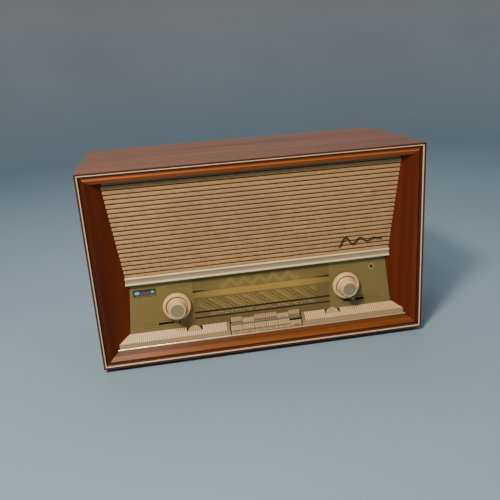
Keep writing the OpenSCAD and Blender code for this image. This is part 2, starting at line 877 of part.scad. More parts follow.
// Grommet for the mains lead.
module mains_grommet() {
    color("#2c2a28") translate([200, back_y - 2, 60]) rotate([-90, 0, 0]) rotate_extrude()
        polygon([[3.5, 0], [10, 0], [10, 1.8], [8, 1.8], [8, 6.2], [10, 6.2], [10, 8], [3.5, 8]]);
}

// Aerial, earth and loudspeaker sockets on a paper-laminate plate.
// A block of four plug sockets on a flange behind the back cover.
module rear_sockets() {
    flange_t = 2.2;
    block_y = back_y - 5;
    color("#8a5a34") difference() {
        union() {
            translate([-119, block_y, 62]) cube([78, 5 + back_t - 0.5, 22]);
            translate([-126, block_y - flange_t, 56]) cube([92, flange_t, 34]);
        }
        for (i = [0 : 3])
            translate([-108.5 + i * 19, block_y - 5, 73]) rotate([-90, 0, 0]) cylinder(r = 2, h = 20);
    }
}

module feet() {
    color("#1f1c1a") for (sx = [-1, 1]) for (sy = [-1, 1])
        translate([sx * (body_w / 2 - 34), sy * (body_d / 2 - 34), 0]) cylinder(r = foot_r, h = foot_h);
}

cabinet_top();
cabinet_bottom();
side_left();
side_right();
front_frame();
edge_piping();
splay_boards();
baffle_board();
speaker_cloth();
divider_strip();
dial_glass();
dial_reflector();
key_shelf();
shelf_trim();
tuning_eye();
chassis();
transformers();
valves();
chassis_cans();
gang_frame();
gang_rotor();
drive_drum();
dial_cord();
pulley_left();
pulley_right();
am_pointer();
fm_pointer();
main_speaker();
speaker_cone();
tweeters();
ferrite_rod();
key_frame();
upper_key(1);  // upper_key_1
upper_key(2);  // upper_key_2
upper_key(3);  // upper_key_3
upper_key(4);  // upper_key_4
upper_key(5);  // upper_key_5
upper_key(6);  // upper_key_6
lower_key(1);  // lower_key_1
lower_key(2);  // lower_key_2
lower_key(3);  // lower_key_3
lower_key(4);  // lower_key_4
lower_key(5);  // lower_key_5
lower_key(6);  // lower_key_6
volume_knob();
volume_shaft();
balance_ring();
tuning_knob();
tuning_shaft();
fm_ring();
bass_wheel();
treble_wheel();
bass_marker();
treble_marker();
back_cover();
back_screws();
feet();
rear_sockets();
potentiometers();
mains_grommet();
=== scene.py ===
"""A table-top valve radio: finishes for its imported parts, and the pieces modelled here."""

import math

import bpy
from bpy.props import FloatProperty, FloatVectorProperty, PointerProperty
from bpy.types import Operator, Panel, PropertyGroup
from mathutils import Matrix, Vector


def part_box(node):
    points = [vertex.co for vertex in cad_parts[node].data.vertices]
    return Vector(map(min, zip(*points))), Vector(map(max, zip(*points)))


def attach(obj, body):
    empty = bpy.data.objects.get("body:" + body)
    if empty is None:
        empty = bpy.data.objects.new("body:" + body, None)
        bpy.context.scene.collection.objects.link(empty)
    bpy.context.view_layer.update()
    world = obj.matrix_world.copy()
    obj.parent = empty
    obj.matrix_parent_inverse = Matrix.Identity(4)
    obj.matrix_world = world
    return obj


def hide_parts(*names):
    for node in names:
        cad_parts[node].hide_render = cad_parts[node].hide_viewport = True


bl_info = {
    "name": "Valve radio",
    "version": (1, 0, 0),
    "blender": (4, 5, 0),
    "location": "3D View > Sidebar > Radio",
    "description": "Dresses the radio's parts and models its cloth, flutes, caps and marks",
    "category": "Object",
}

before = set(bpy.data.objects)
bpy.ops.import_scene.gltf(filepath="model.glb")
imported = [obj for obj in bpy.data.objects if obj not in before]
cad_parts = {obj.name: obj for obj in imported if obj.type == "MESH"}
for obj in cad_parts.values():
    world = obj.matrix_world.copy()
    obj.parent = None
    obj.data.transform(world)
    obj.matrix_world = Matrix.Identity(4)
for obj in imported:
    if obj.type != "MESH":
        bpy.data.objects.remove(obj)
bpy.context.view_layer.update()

MM = 0.001
EDGE = 3 * MM
FRONT_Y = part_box("cabinet_top")[0].y
HALF_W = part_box("cabinet_top")[1].x
LOW_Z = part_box("cabinet_bottom")[0].z
TOP_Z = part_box("cabinet_top")[1].z
FACE_Z = LOW_Z + EDGE

# The front edge of a cabinet board, and the frame's cove and ridge inwards from the piping; the
# board edge and the cove get painted shade.
BOARD_EDGE = 0.6 * MM
COVE_START = 8.6 * MM
RIDGE = 10.3 * MM

# The recess between the splayed boards narrows by this much for each unit of depth.
RECESS_HALF = 304 * MM
RECESS_SLOPE = 1.5
RECESS_GAP = 0.3 * MM

DIAL_TILT = math.radians(-4.05)
DIAL_Y = 30
DIAL_Z = 50
CLOTH_TILT = math.radians(4.08)
CLOTH_Y = 32.35
CLOTH_Z = 150.5
CLOTH_H = 195
STRIP_Z = 154.3
TOP_BAND = TOP_Z - 30 * MM

SHELF_FRONT = (15.5, 36)
SHELF_BACK = (29.6, 49.4)
SHELF_END = 281
BANK = (-71.7, 75.7)
WHEEL_X = 137
WHEEL_Z = 37.5
WHEEL_RIBS = 36
WHEEL_SLOT_HALF = 14.8
WHEEL_SLOT_Y = 22.9

PIVOT_Y = 72
UPPER_PIVOT_Z = 43.5
LOWER_PIVOT_Z = 30


def at(x, y, z):
    """A point in metres from millimetres across, back from the front and up the face."""
    return Vector((x * MM, FRONT_Y + y * MM, FACE_Z + z * MM))


def dial_plane(x, y, z):
    """Places a piece on the dial glass: y is square to it, z runs up it from its foot."""
    return Matrix.Translation(at(0, DIAL_Y, DIAL_Z)) @ Matrix.Rotation(DIAL_TILT, 4,
        "X") @ Matrix.Translation(Vector((x, y, z)) * MM)


def cloth_plane(x, y, z):
    """Places a piece on the cloth: y is square to it, z runs up it from its lower edge."""
    return Matrix.Translation(at(0, CLOTH_Y, CLOTH_Z)) @ Matrix.Rotation(CLOTH_TILT, 4,
        "X") @ Matrix.Translation(Vector((x, y, z)) * MM)


FACING_FRONT = Matrix.Rotation(math.radians(90), 4, "X")


# ---- Sizes and colours that a user would change ----

def length(name, description, default):
    return FloatProperty(name=name, description=description, default=default, min=0.0,
        unit="LENGTH", precision=5)


def colour(name, description, default):
    return FloatVectorProperty(name=name, description=description, default=default,
        subtype="COLOR", size=3, min=0.0, max=1.0)


class RadioSizes(PropertyGroup):
    """Sizes of the pieces that are modelled here."""
    pleat_pitch: length("Pleat pitch", "Height of one pleat of the cloth", 0.00855)
    pleat_depth: length("Pleat depth", "How far a pleat's lower edge stands out", 0.0011)
    cloth_thickness: length("Cloth thickness", "Thickness of the woven cloth", 0.0005)
    flute_pitch: length("Flute pitch", "Distance from flute to flute on shelf and keys", 0.0038)
    flute_height: length("Flute height", "How far a flute stands out", 0.0006)
    cap_radius: length("Cap radius", "Radius of a knob's face cap", 0.0126)
    cap_height: length("Cap height", "Thickness of a knob's face cap", 0.0009)
    index_width: length("Index width", "Width of a knob's index mark", 0.0018)
    bezel_width: length("Bezel width", "Width of the line round the indicator window", 0.0009)
    ornament_radius: length("Ornament radius", "Half the thickness of the wave's wire", 0.0014)


class RadioColours(PropertyGroup):
    """Colours of the finishes."""
    veneer_light: colour("Veneer light", "Pale figure of the cabinet veneer", (0.31, 0.125, 0.058))
    veneer_dark: colour("Veneer dark", "Dark figure of the cabinet veneer", (0.11, 0.033, 0.014))
    # Rails and sill take a more orange tone than the redder upright wood: painted light for how
    # light falls on them.
    rail_light: colour("Rail light", "Pale figure of the rails and the sill", (0.34, 0.105, 0.018))
    rail_dark: colour("Rail dark", "Dark figure of the rails and the sill", (0.13, 0.03, 0.005))
    stile_light: colour("Stile light", "Pale figure of the upright wood", (0.16, 0.026, 0.002))
    stile_dark: colour("Stile dark", "Dark figure of the upright wood", (0.075, 0.010, 0.001))
    # The cove colour is painted shade for the frame's groove.
    cove: colour("Cove", "Painted shade in the groove round the face", (0.045, 0.010, 0.002))
    ivory: colour("Ivory", "Moulded plastic of knobs, shelf and keys", (0.84, 0.57, 0.26))
    piping: colour("Piping", "Bead round the face", (0.85, 0.62, 0.40))
    cloth_light: colour("Cloth light", "Pale threads of the cloth", (0.80, 0.50, 0.235))
    cloth_dark: colour("Cloth dark", "Dark threads of the cloth", (0.34, 0.165, 0.055))
    olive: colour("Olive", "Ground colour of the dial", (0.215, 0.165, 0.052))
    scale_brown: colour("Scale brown", "Ground of the scale window", (0.165, 0.122, 0.040))
    gold: colour("Gold", "Lit print of the scale", (0.70, 0.43, 0.09))
    cream: colour("Cream", "Pale print of the scale", (0.74, 0.58, 0.28))
    ink: colour("Ink", "Dark print of the scale", (0.012, 0.003, 0.0005))
    cap: colour("Cap", "Face caps of the knobs", (0.47, 0.38, 0.18))
    gilt: colour("Gilt", "Ridged strip over the dial", (1.0, 0.86, 0.50))
    brass: colour("Brass", "Bright trim under the shelf", (1.0, 0.82, 0.52))
    eye_blue: colour("Eye blue", "Left glow of the indicator", (0.0, 0.25, 0.27))
    eye_green: colour("Eye green", "Right glow of the indicator", (0.0, 0.30, 0.10))
    eye_plate: colour("Eye plate", "Plate behind the indicator window", (0.07, 0.052, 0.07))
    hardboard: colour("Hardboard", "Back cover", (0.20, 0.115, 0.06))
    # Painted light: floor and wall colours differ to make up for how the lamps fall on them.
    floor: colour("Floor", "Floor under the set", (0.27, 0.375, 0.46))
    wall: colour("Wall", "Wall round the floor", (0.45, 0.47, 0.50))


# ---- Node trees ----

class Shade:
    """Adds nodes to a tree with plain calls; a value may be a number, a colour or a socket."""

    def __init__(self, tree):
        self.tree = tree

    def feed(self, socket, value):
        if isinstance(value, bpy.types.NodeSocket):
            self.tree.links.new(value, socket)
        else:
            socket.default_value = value

    def node(self, kind, inputs=None, **settings):
        made = self.tree.nodes.new(kind)
        for key, value in settings.items():
            setattr(made, key, value)
        for key, value in (inputs or {}).items():
            self.feed(made.inputs[key], value)
        return made

    def math(self, operation, a, b=0.0, c=0.0, clamp=False):
        made = self.node("ShaderNodeMath", {0: a, 1: b, 2: c}, operation=operation,
            use_clamp=clamp)
        return made.outputs[0]

    def add(self, a, b, clamp=False):
        return self.math("ADD", a, b, clamp=clamp)

    def sub(self, a, b, clamp=False):
        return self.math("SUBTRACT", a, b, clamp=clamp)

    def mul(self, a, b):
        return self.math("MULTIPLY", a, b)

    def div(self, a, b):
        return self.math("DIVIDE", a, b)

    def fract(self, a):
        return self.math("FRACT", a)

    def less(self, a, b):
        return self.math("LESS_THAN", a, b)

    def more(self, a, b):
        return self.math("GREATER_THAN", a, b)

    def mix(self, share, a, b, blend="MIX"):
        made = self.node("ShaderNodeMix", {0: share, 6: a, 7: b}, data_type="RGBA",
            blend_type=blend, clamp_factor=True)
        return made.outputs[2]

    def blend(self, share, a, b):
        made = self.node("ShaderNodeMix", {0: share, 2: a, 3: b}, data_type="FLOAT",
            clamp_factor=True)
        return made.outputs[0]

    def here(self):
        return self.node("ShaderNodeTexCoord").outputs["Object"]

    def axes(self, vector):
        return self.node("ShaderNodeSeparateXYZ", {0: vector}).outputs

    def stretch(self, vector, scale, turn=(0, 0, 0), shift=(0, 0, 0)):
        return self.node("ShaderNodeMapping", {"Vector": vector, "Scale": scale, "Rotation": turn,
            "Location": shift}).outputs[0]

    def noise(self, vector, scale, detail=2.0, rough=0.5, twist=0.0):
        made = self.node("ShaderNodeTexNoise", {"Vector": vector, "Scale": scale, "Detail": detail,
            "Roughness": rough, "Distortion": twist})
        return made.outputs[0]

    def ramp(self, value, low, high, a=0.0, b=1.0):
        made = self.node("ShaderNodeMapRange", {0: value, 1: low, 2: high, 3: a, 4: b}, clamp=True)
        return made.outputs[0]

    def bump(self, height, strength, distance):
        made = self.node("ShaderNodeBump", {"Height": height, "Strength": strength,
            "Distance": distance})
        return made.outputs[0]

    def near(self, value, centre, half):
        """1 where value lies within half of centre."""
        return self.math("COMPARE", value, centre, half)

    def away(self, value, centre):
        return self.math("ABSOLUTE", self.sub(value, centre))

    def reach(self, a, b):
        """Length of the vector (a, b)."""
        squares = self.add(self.math("POWER", a, 2.0), self.math("POWER", b, 2.0))
        return self.math("SQRT", squares)

    def repeat(self, value, pitch, half):
        """1 in the middle of every pitch, within half on either side, as a share of it."""
        return self.near(self.fract(self.div(value, pitch)), 0.5, half)

    def wash(self, shade, mask, share, tint):
        """The shade with this share of a tint laid over it where the mask is."""
        return self.mix(self.mul(mask, share), shade, rgba(tint))

    def all_of(self, *masks):
        made = masks[0]
        for mask in masks[1:]:
            made = self.mul(made, mask)
        return made

    def any_of(self, *masks):
        made = masks[0]
        for mask in masks[1:]:
            made = self.math("MAXIMUM", made, mask)
        return made


def group(name, inputs, outputs, build):
    """A shader node group, built once. build takes the shade and the inputs and gives outputs."""
    tree = bpy.data.node_groups.get(name)
    if tree is not None:
        return tree
    tree = bpy.data.node_groups.new(name, "ShaderNodeTree")
    for label, kind, default in inputs:
        socket = tree.interface.new_socket(label, in_out="INPUT", socket_type=kind)
        if default is not None:
            socket.default_value = default
    for label, kind in outputs:
        tree.interface.new_socket(label, in_out="OUTPUT", socket_type=kind)
    shade = Shade(tree)
    source = shade.node("NodeGroupInput")
    sink = shade.node("NodeGroupOutput")
    for label, value in build(shade, source.outputs).items():
        shade.feed(sink.inputs[label], value)
    return tree


VECTOR = "NodeSocketVector"
NUMBER = "NodeSocketFloat"
COLOUR = "NodeSocketColor"


def wood_group():
    """Grain that runs along the vector's X: rings, figure and open pores."""
    def build(s, given):
        vector = given["Vector"]
        flow = s.noise(s.stretch(vector, (1.6, 20, 20)), 1.0, 5.0, 0.55, 0.5)
        rings = s.node("ShaderNodeTexWave", {"Vector": s.stretch(vector, (1.1, 26, 26)),
            "Scale": 1.0, "Distortion": 5.0, "Detail": 3.0, "Detail Scale": 0.8},
            wave_type="BANDS", bands_direction="DIAGONAL").outputs["Fac"]
        fine = s.noise(s.stretch(vector, (9, 420, 420)), 1.0, 3.0, 0.6)
        pores = s.ramp(s.noise(s.stretch(vector, (70, 1500, 1500)), 1.0, 1.0), 0.60, 0.72)
        figure = s.add(s.mul(s.ramp(flow, 0.3, 0.7), 0.5), s.mul(rings, 0.28))
        figure = s.add(figure, s.mul(fine, 0.3), clamp=True)
        ground = s.mix(figure, given["Light"], given["Dark"])
        ground = s.mix(s.mul(pores, 0.55), ground, given["Dark"])
        height = s.sub(s.mul(fine, 0.3), pores)
        return {"Color": ground, "Height": height}
    return group("Wood grain", [("Vector", VECTOR, None), ("Light", COLOUR, (0.4, 0.2, 0.1, 1)),
        ("Dark", COLOUR, (0.1, 0.04, 0.02, 1))], [("Color", COLOUR), ("Height", NUMBER)], build)


def wear_group():
    """Broken wear within a width of an edge, from the distance to that edge."""
    def build(s, given):
        near = s.ramp(s.div(given["Distance"], given["Width"]), 0.0, 1.0, 1.0, 0.0)
        broken = s.noise(given["Vector"], 90.0, 4.0, 0.7)
        return {"Wear": s.ramp(s.mul(near, broken), 0.38, 0.62)}
    return group("Edge wear", [("Vector", VECTOR, None), ("Distance", NUMBER, 0.01),
        ("Width", NUMBER, 0.002)], [("Wear", NUMBER)], build)


def handling_group():
    """Dust that settles on what faces up, and smudges from handling."""
    def build(s, given):
        facing = s.axes(s.node("ShaderNodeNewGeometry").outputs["Normal"])[2]
        fluff = s.noise(given["Vector"], 260.0, 3.0, 0.7)
        dust = s.mul(s.ramp(facing, 0.55, 1.0), s.ramp(fluff, 0.42, 0.75))
        smudge = s.ramp(s.noise(given["Vector"], 16.0, 4.0, 0.6, 0.8), 0.35, 0.7)
        return {"Dust": s.mul(dust, given["Amount"]), "Smudge": smudge}
    return group("Handling", [("Vector", VECTOR, None), ("Amount", NUMBER, 0.3)],
        [("Dust", NUMBER), ("Smudge", NUMBER)], build)


def mould_group():
    """Moulded plastic: faint flow marks, fine pits and grime."""
    def build(s, given):
        flow = s.noise(s.stretch(given["Vector"], (30, 30, 90)), 1.0, 3.0, 0.5, 1.2)
        pits = s.noise(given["Vector"], 1400.0, 2.0, 0.6)
        grime = s.ramp(s.noise(given["Vector"], 120.0, 5.0, 0.7), 0.52, 0.8)
        tone = s.mix(s.mul(s.ramp(flow, 0.35, 0.7), 0.35), given["Color"],
            s.mix(1.0, given["Color"], (0.80, 0.72, 0.58, 1), "MULTIPLY"))
        tone = s.wash(tone, grime, 0.25, (0.23, 0.16, 0.09))
        return {"Color": tone, "Height": s.add(pits, s.mul(flow, 0.5))}
    return group("Moulded plastic", [("Vector", VECTOR, None), ("Color", COLOUR, (1, 1, 1, 1))],
        [("Color", COLOUR), ("Height", NUMBER)], build)


def brushed_group():
    """Fine scratches along the vector's X, for drawn, rolled and turned metal."""
    def build(s, given):
        lines = s.noise(s.stretch(given["Vector"], (6, 1100, 1100)), 1.0, 3.0, 0.65)
        spots = s.ramp(s.noise(given["Vector"], 70.0, 5.0, 0.7), 0.5, 0.78)
        tone = s.mix(s.mul(lines, 0.4), given["Color"], s.mix(1.0, given["Color"],
            (0.6, 0.6, 0.6, 1), "MULTIPLY"))
        tone = s.mix(s.mul(spots, given["Tarnish"]), tone, (0.11, 0.085, 0.055, 1))
        return {"Color": tone, "Height": lines, "Roughness": s.ramp(s.add(s.mul(lines, 0.5),
            spots), 0.0, 1.3, 0.2, 0.62)}
    return group("Brushed metal", [("Vector", VECTOR, None), ("Color", COLOUR, (1, 1, 1, 1)),
        ("Tarnish", NUMBER, 0.3)], [("Color", COLOUR), ("Height", NUMBER), ("Roughness", NUMBER)],
        build)


def weave_group():
    """Plain weave: crossing threads of uneven thickness and tone."""
    def build(s, given):
        x, y, z = s.axes(given["Vector"])[:3]
        pitch = given["Pitch"]
        warp = s.math("SINE", s.mul(s.div(x, pitch), math.tau))
        weft = s.math("SINE", s.mul(s.div(z, pitch), math.tau))
        cross = s.mul(warp, weft)
        slub_x = s.noise(s.stretch(given["Vector"], (60, 60, 1100)), 1.0, 2.0)
        slub_z = s.noise(s.stretch(given["Vector"], (1100, 60, 60)), 1.0, 2.0)
        fibre = s.noise(given["Vector"], 900.0, 3.0, 0.7)
        height = s.add(s.mul(cross, 0.35), s.add(slub_x, slub_z))
        tone = s.add(s.mul(cross, 0.12), s.add(s.mul(s.ramp(slub_x, 0.3, 0.7), 0.3),
            s.mul(s.ramp(slub_z, 0.3, 0.7), 0.18)))
        tone = s.add(tone, s.mul(fibre, 0.3), clamp=True)
        return {"Tone": tone, "Height": s.add(height, fibre)}
    return group("Weave", [("Vector", VECTOR, None), ("Pitch", NUMBER, 0.0012)],
        [("Tone", NUMBER), ("Height", NUMBER)], build)


def placed(shade, tree, **inputs):
    """A group node in a material, with its inputs given by name."""
    made = shade.node("ShaderNodeGroup", node_tree=tree)
    for key, value in inputs.items():
        shade.feed(made.inputs[key], value)
    return made.outputs


def rgba(value):
    return (value[0], value[1], value[2], 1.0)


def material(name, build, **sockets):
    """A material whose Principled shader gets constant sockets here and the rest from build."""
    made = bpy.data.materials.get(name)
    if made is not None:
        return made
    made = bpy.data.materials.new(name)
    made.use_nodes = True
    tree = made.node_tree
    tree.nodes.clear()
    shade = Shade(tree)
    shader = shade.node("ShaderNodeBsdfPrincipled")
    shade.node("ShaderNodeOutputMaterial", {"Surface": shader.outputs[0]})
    for key, value in sockets.items():
        shader.inputs[key.replace("_", " ")].default_value = value
    for key, value in build(shade).items():
        shade.feed(shader.inputs[key], value)
    return made


# ---- Woods ----

# Turns a vector so that grain runs along Z, along Y or along X.
ALONG_Z = (0, math.radians(90), 0)
ALONG_Y = (0, 0, math.radians(90))
ALONG_X = (0, 0, 0)


def veneer(name, turn, light, dark, shift):
    """Lacquered veneer of one board, with its own stretch of figure."""
    def build(s):
        where = s.here()
        grain = placed(s, wood_group(), Vector=s.stretch(where, (1, 1, 1), turn, shift),
            Light=rgba(light), Dark=rgba(dark))
        care = placed(s, handling_group(), Vector=where, Amount=0.10)
        x, y, z = s.axes(where)[:3]
        edge = s.sub(HALF_W, s.math("ABSOLUTE", x))
        edge = s.math("MINIMUM", edge, s.sub(y, FRONT_Y))
        wear = placed(s, wear_group(), Vector=where, Distance=edge, Width=0.006)
        shade = s.wash(grain["Color"], wear["Wear"], 0.35, (0.30, 0.13, 0.06))
        shade = s.mix(care["Dust"], shade, (0.45, 0.40, 0.36, 1))
        # Painted shade: the front edge of each board is darkened.
        face = s.less(y, FRONT_Y + BOARD_EDGE)
        shade = s.wash(shade, face, 0.75, (0.03, 0.008, 0.004))
        return {"Base Color": shade, "Roughness": s.blend(care["Smudge"], 0.34, 0.46),
            "Normal": s.bump(grain["Height"], 0.25, 0.00015)}
    return material(name, build, Coat_Weight=0.35, Coat_Roughness=0.2, Coat_IOR=1.4,
        Specular_IOR_Level=0.25)


def mitred(s, colours, upright):
    """Grain along the rails, and up the stiles where the mask says so. The rails take a more
    orange tone than the redder stiles: painted light for how light falls on them.
    """
    where = s.here()
    across = placed(s, wood_group(), Vector=s.stretch(where, (1, 1, 1), ALONG_X, (5, 2, 1)),
        Light=rgba(colours.rail_light), Dark=rgba(colours.rail_dark))
    along = placed(s, wood_group(), Vector=s.stretch(where, (1, 1, 1), ALONG_Z, (3, 1, 0)),
        Light=rgba(colours.stile_light), Dark=rgba(colours.stile_dark))
    return (s.mix(upright, across["Color"], along["Color"]), s.blend(upright, across["Height"],
        along["Height"]))


def frame_wood(colours):
    """Front frame: mitred grain, painted light on the top rail, painted shade in the cove, and a
    ridge made lighter, partly by wear and partly as a painted highlight.
    """
    def build(s):
        where = s.here()
        x, y, z = s.axes(where)[:3]
        aside = s.sub(HALF_W - EDGE, s.math("ABSOLUTE", x))
        high = (TOP_Z - LOW_Z) / 2 - EDGE
        above = s.sub(high, s.away(z, LOW_Z + EDGE + high))
        inward = s.math("MINIMUM", aside, above)
        stile = s.less(aside, above)
        wood, height = mitred(s, colours, stile)
        # Painted light: the top rail is made lighter and more orange where light falls on the top
        # of the frame.
        rail = s.mul(s.more(z, TOP_BAND), s.sub(1.0, stile))
        wood = s.wash(wood, rail, 0.75, (0.60, 0.15, 0.03))
        # Painted shade: the cove is darkened towards the cove colour.
        cove = s.ramp(inward, COVE_START, COVE_START + MM, 1.0, 0.0)
        # Lighter along the ridge: partly wear, and partly a painted highlight where the bevel
        # catches the lamp.
        wear = placed(s, wear_group(), Vector=where, Distance=s.away(inward, RIDGE), Width=0.0014)
        shade = s.wash(wood, cove, 0.6, colours.cove)
        shade = s.wash(shade, wear["Wear"], 0.4, (0.45, 0.16, 0.03))
        return {"Base Color": shade, "Roughness": s.blend(cove, 0.34, 0.45),
            "Normal": s.bump(height, 0.3, 0.00015)}
    return material("Frame wood", build, Coat_Weight=0.3, Coat_Roughness=0.18, Coat_IOR=1.4,
        Specular_IOR_Level=0.12)


def splay_wood(colours):
    """Splayed side boards with upright grain; the sill and the soffit have it across, and both get
    painted shade.
    """
    def build(s):
        where = s.here()
        x, y, z = s.axes(where)[:3]
        inner = s.sub(RECESS_HALF, s.math("ABSOLUTE", x))
        depth = s.mul(s.sub(y, FRONT_Y), RECESS_SLOPE)
        side = s.less(inner, s.add(depth, 0.0002))
        shade, height = mitred(s, colours, side)
        top = s.more(z, TOP_BAND)
        flat = s.sub(1.0, side)
        soffit = s.mul(top, flat)
        sill = s.sub(flat, soffit)
        # Painted shade: the sill and the soffit under the top rail are darkened.
        shade = s.wash(shade, sill, 0.5, (0.045, 0.014, 0.003))
        shade = s.wash(shade, soffit, 0.6, (0.05, 0.026, 0.017))
        care = placed(s, handling_group(), Vector=where, Amount=0.0)
        return {"Base Color": shade, "Roughness": s.blend(care["Smudge"], 0.38, 0.5),
            "Normal": s.bump(height, 0.3, 0.00015)}
    return material("Splayed boards", build, Coat_Weight=0.15, Coat_Roughness=0.25, Coat_IOR=1.4,
        Specular_IOR_Level=0.1)


def raw_board(name, pale, dark):
    """Unfinished plywood or hardboard: fibres, specks and stains."""
    def build(s):
        where = s.here()
        fibre = s.noise(s.stretch(where, (120, 120, 500)), 1.0, 4.0, 0.7)
        specks = s.ramp(s.noise(where, 700.0, 3.0, 0.7), 0.45, 0.72)
        stain = s.ramp(s.noise(where, 9.0, 4.0, 0.6), 0.45, 0.75)
        shade = s.wash(rgba(pale), fibre, 0.8, dark)
        shade = s.wash(shade, specks, 0.4, dark)
        shade = s.wash(shade, stain, 0.3, (0.07, 0.045, 0.03))
        care = placed(s, handling_group(), Vector=where, Amount=0.5)
        return {"Base Color": s.mix(care["Dust"], shade, (0.4, 0.36, 0.32, 1)),
            "Roughness": s.ramp(specks, 0.0, 1.0, 0.62, 0.85),
            "Normal": s.bump(s.add(fibre, specks), 0.4, 0.0003)}
    return material(name, build)


# ---- Plastics, cloth, glass ----

def flute_floor(s):
    """A mask of the floor between the flutes, the slopes that face forward and up, which is
    darkened.
    """
    x, y, z = s.axes(s.node("ShaderNodeNewGeometry").outputs["True Normal"])[:3]
    return s.all_of(s.near(z, 0.5, 0.28), s.less(y, -0.3), 0.9)


def grip_lines(s, centre, pitch):
    """Dark lines that fan out over a thumbwheel's face."""
    x, y, z = s.axes(s.here())[:3]
    side = s.sub(s.math("ABSOLUTE", x), centre.x)
    turn = s.math("ARCTAN2", side, s.sub(z, centre.z))
    line = s.away(s.fract(s.div(turn, pitch)), 0.5)
    return s.ramp(line, 0.30, 0.42)


def moulded(name, tint, rough=0.34, shine=0.35, grip=None):
    """Old moulded plastic with grime in its pits and a soft polish."""
    def build(s):
        where = s.here()
        mould = placed(s, mould_group(), Vector=where, Color=rgba(tint))
        care = placed(s, handling_group(), Vector=where, Amount=0.10)
        shade = s.mix(care["Dust"], mould["Color"], (0.5, 0.46, 0.4, 1))
        if grip:
            shade = s.mix(grip(s), shade, (0.20, 0.115, 0.045, 1))
        return {"Base Color": shade, "Roughness": s.blend(care["Smudge"], rough, rough + 0.14),
            "Normal": s.bump(mould["Height"], 0.12, 0.00012)}
    return material(name, build, Coat_Weight=shine, Coat_Roughness=0.18, Coat_IOR=1.45,
        Subsurface_Weight=0.06, Subsurface_Radius=(0.004, 0.002, 0.001), Subsurface_Scale=1.0)


def key_plastic(colours, fluted=False):
    """Key plastic, a darker copy of the ivory as painted shade, with a short printed bar near each
    key's front edge and none on some.
    """
    def build(s):
        where = s.here()
        x, y, z = s.axes(where)[:3]
        # Painted shade: the keys take a darker copy of the knobs' ivory.
        shaded_ivory = tuple(part * 0.66 for part in colours.ivory)
        mould = placed(s, mould_group(), Vector=where, Color=rgba(shaded_ivory))
        low_row = s.less(z, FACE_Z + 44 * MM)
        pitch = s.blend(low_row, 22.8 * MM, 23.3 * MM)
        turn = s.div(s.sub(x, 2 * MM), pitch)
        place = s.sub(s.fract(turn), 0.5)
        cell = s.math("FLOOR", turn)
        long = s.mul(s.fract(s.mul(cell, 0.37)), 0.10)
        bar = s.less(s.math("ABSOLUTE", place), s.add(long, 0.14))
        low_line = s.near(z, FACE_Z + 31.0 * MM, 0.75 * MM)
        high_line = s.near(z, FACE_Z + 48.1 * MM, 0.6 * MM)
        high_line = s.mul(high_line, s.near(cell, 0.0, 1.4))
        line = s.any_of(low_line, high_line)
        broken = s.ramp(s.noise(s.stretch(where, (900, 10, 700)), 1.0, 1.0), 0.38, 0.45)
        printed = s.all_of(bar, line, broken)
        shade = s.wash(mould["Color"], printed, 0.85, colours.ink)
        care = placed(s, handling_group(), Vector=where, Amount=0.08)
        if fluted:
            shade = s.mix(flute_floor(s), shade, (0.14, 0.085, 0.035, 1))
        return {"Base Color": shade, "Roughness": s.blend(care["Smudge"], 0.34, 0.5),
            "Normal": s.bump(mould["Height"], 0.12, 0.00012)}
    return material("Key cap" if fluted else "Key flutes", build, Coat_Weight=0.3,
        Coat_Roughness=0.2, Coat_IOR=1.45)


def cloth_material(colours, pitch):
    """Woven loudspeaker cloth, browned where the big cone breathes through it."""
    def build(s):
        where = s.here()
        x, y, z = s.axes(where)[:3]
        weave = placed(s, weave_group(), Vector=where, Pitch=1.3 * MM)
        shade = s.mix(s.ramp(weave["Tone"], 0.15, 0.8), rgba(colours.cloth_dark),
            rgba(colours.cloth_light))
        wide = s.div(s.add(x, 69 * MM), 112 * MM)
        high = s.div(s.sub(z, FACE_Z + 263 * MM), 58 * MM)
        out = s.reach(wide, high)
        patch = s.ramp(out, 0.9, 1.06, 1.0, 0.0)
        shade = s.wash(shade, patch, 0.24, (0.33, 0.18, 0.115))
        dirt = s.ramp(s.noise(where, 12.0, 4.0, 0.6), 0.45, 0.8)
        shade = s.wash(shade, dirt, 0.18, (0.28, 0.18, 0.10))
        # The groove under each pleat is darkened: partly dirt in the groove, and partly painted
        # shade under the pleat's proud lower edge.
        foot = cloth_plane(0, 0, 0.5).translation.z
        up = s.div(s.sub(z, foot), pitch * math.cos(CLOTH_TILT))
        pleat = s.fract(up)
        groove = s.any_of(s.ramp(pleat, 0.06, 0.14, 1.0, 0.0), s.ramp(pleat, 0.84, 0.93))
        shade = s.mix(groove, shade, (0.045, 0.013, 0.002, 1))
        return {"Base Color": shade, "Roughness": s.ramp(weave["Tone"], 0.0, 1.0, 0.95, 0.75),
            "Normal": s.bump(weave["Height"], 0.55, 0.0004)}
    return material("Loudspeaker cloth", build, Sheen_Weight=0.12, Sheen_Roughness=0.5,
        Specular_IOR_Level=0.15)


def metal(name, tint, tarnish=0.25, turn=ALONG_X, metallic=1.0, coat=0.0):
    """Brushed or drawn metal with some tarnish."""
    def build(s):
        where = s.here()
        brushed = placed(s, brushed_group(), Vector=s.stretch(where, (1, 1, 1), turn),
            Color=rgba(tint), Tarnish=tarnish)
        return {"Base Color": brushed["Color"], "Roughness": brushed["Roughness"],
            "Normal": s.bump(brushed["Height"], 0.10, 0.00006)}
    return material(name, build, Metallic=metallic, Coat_Weight=coat, Coat_Roughness=0.12)


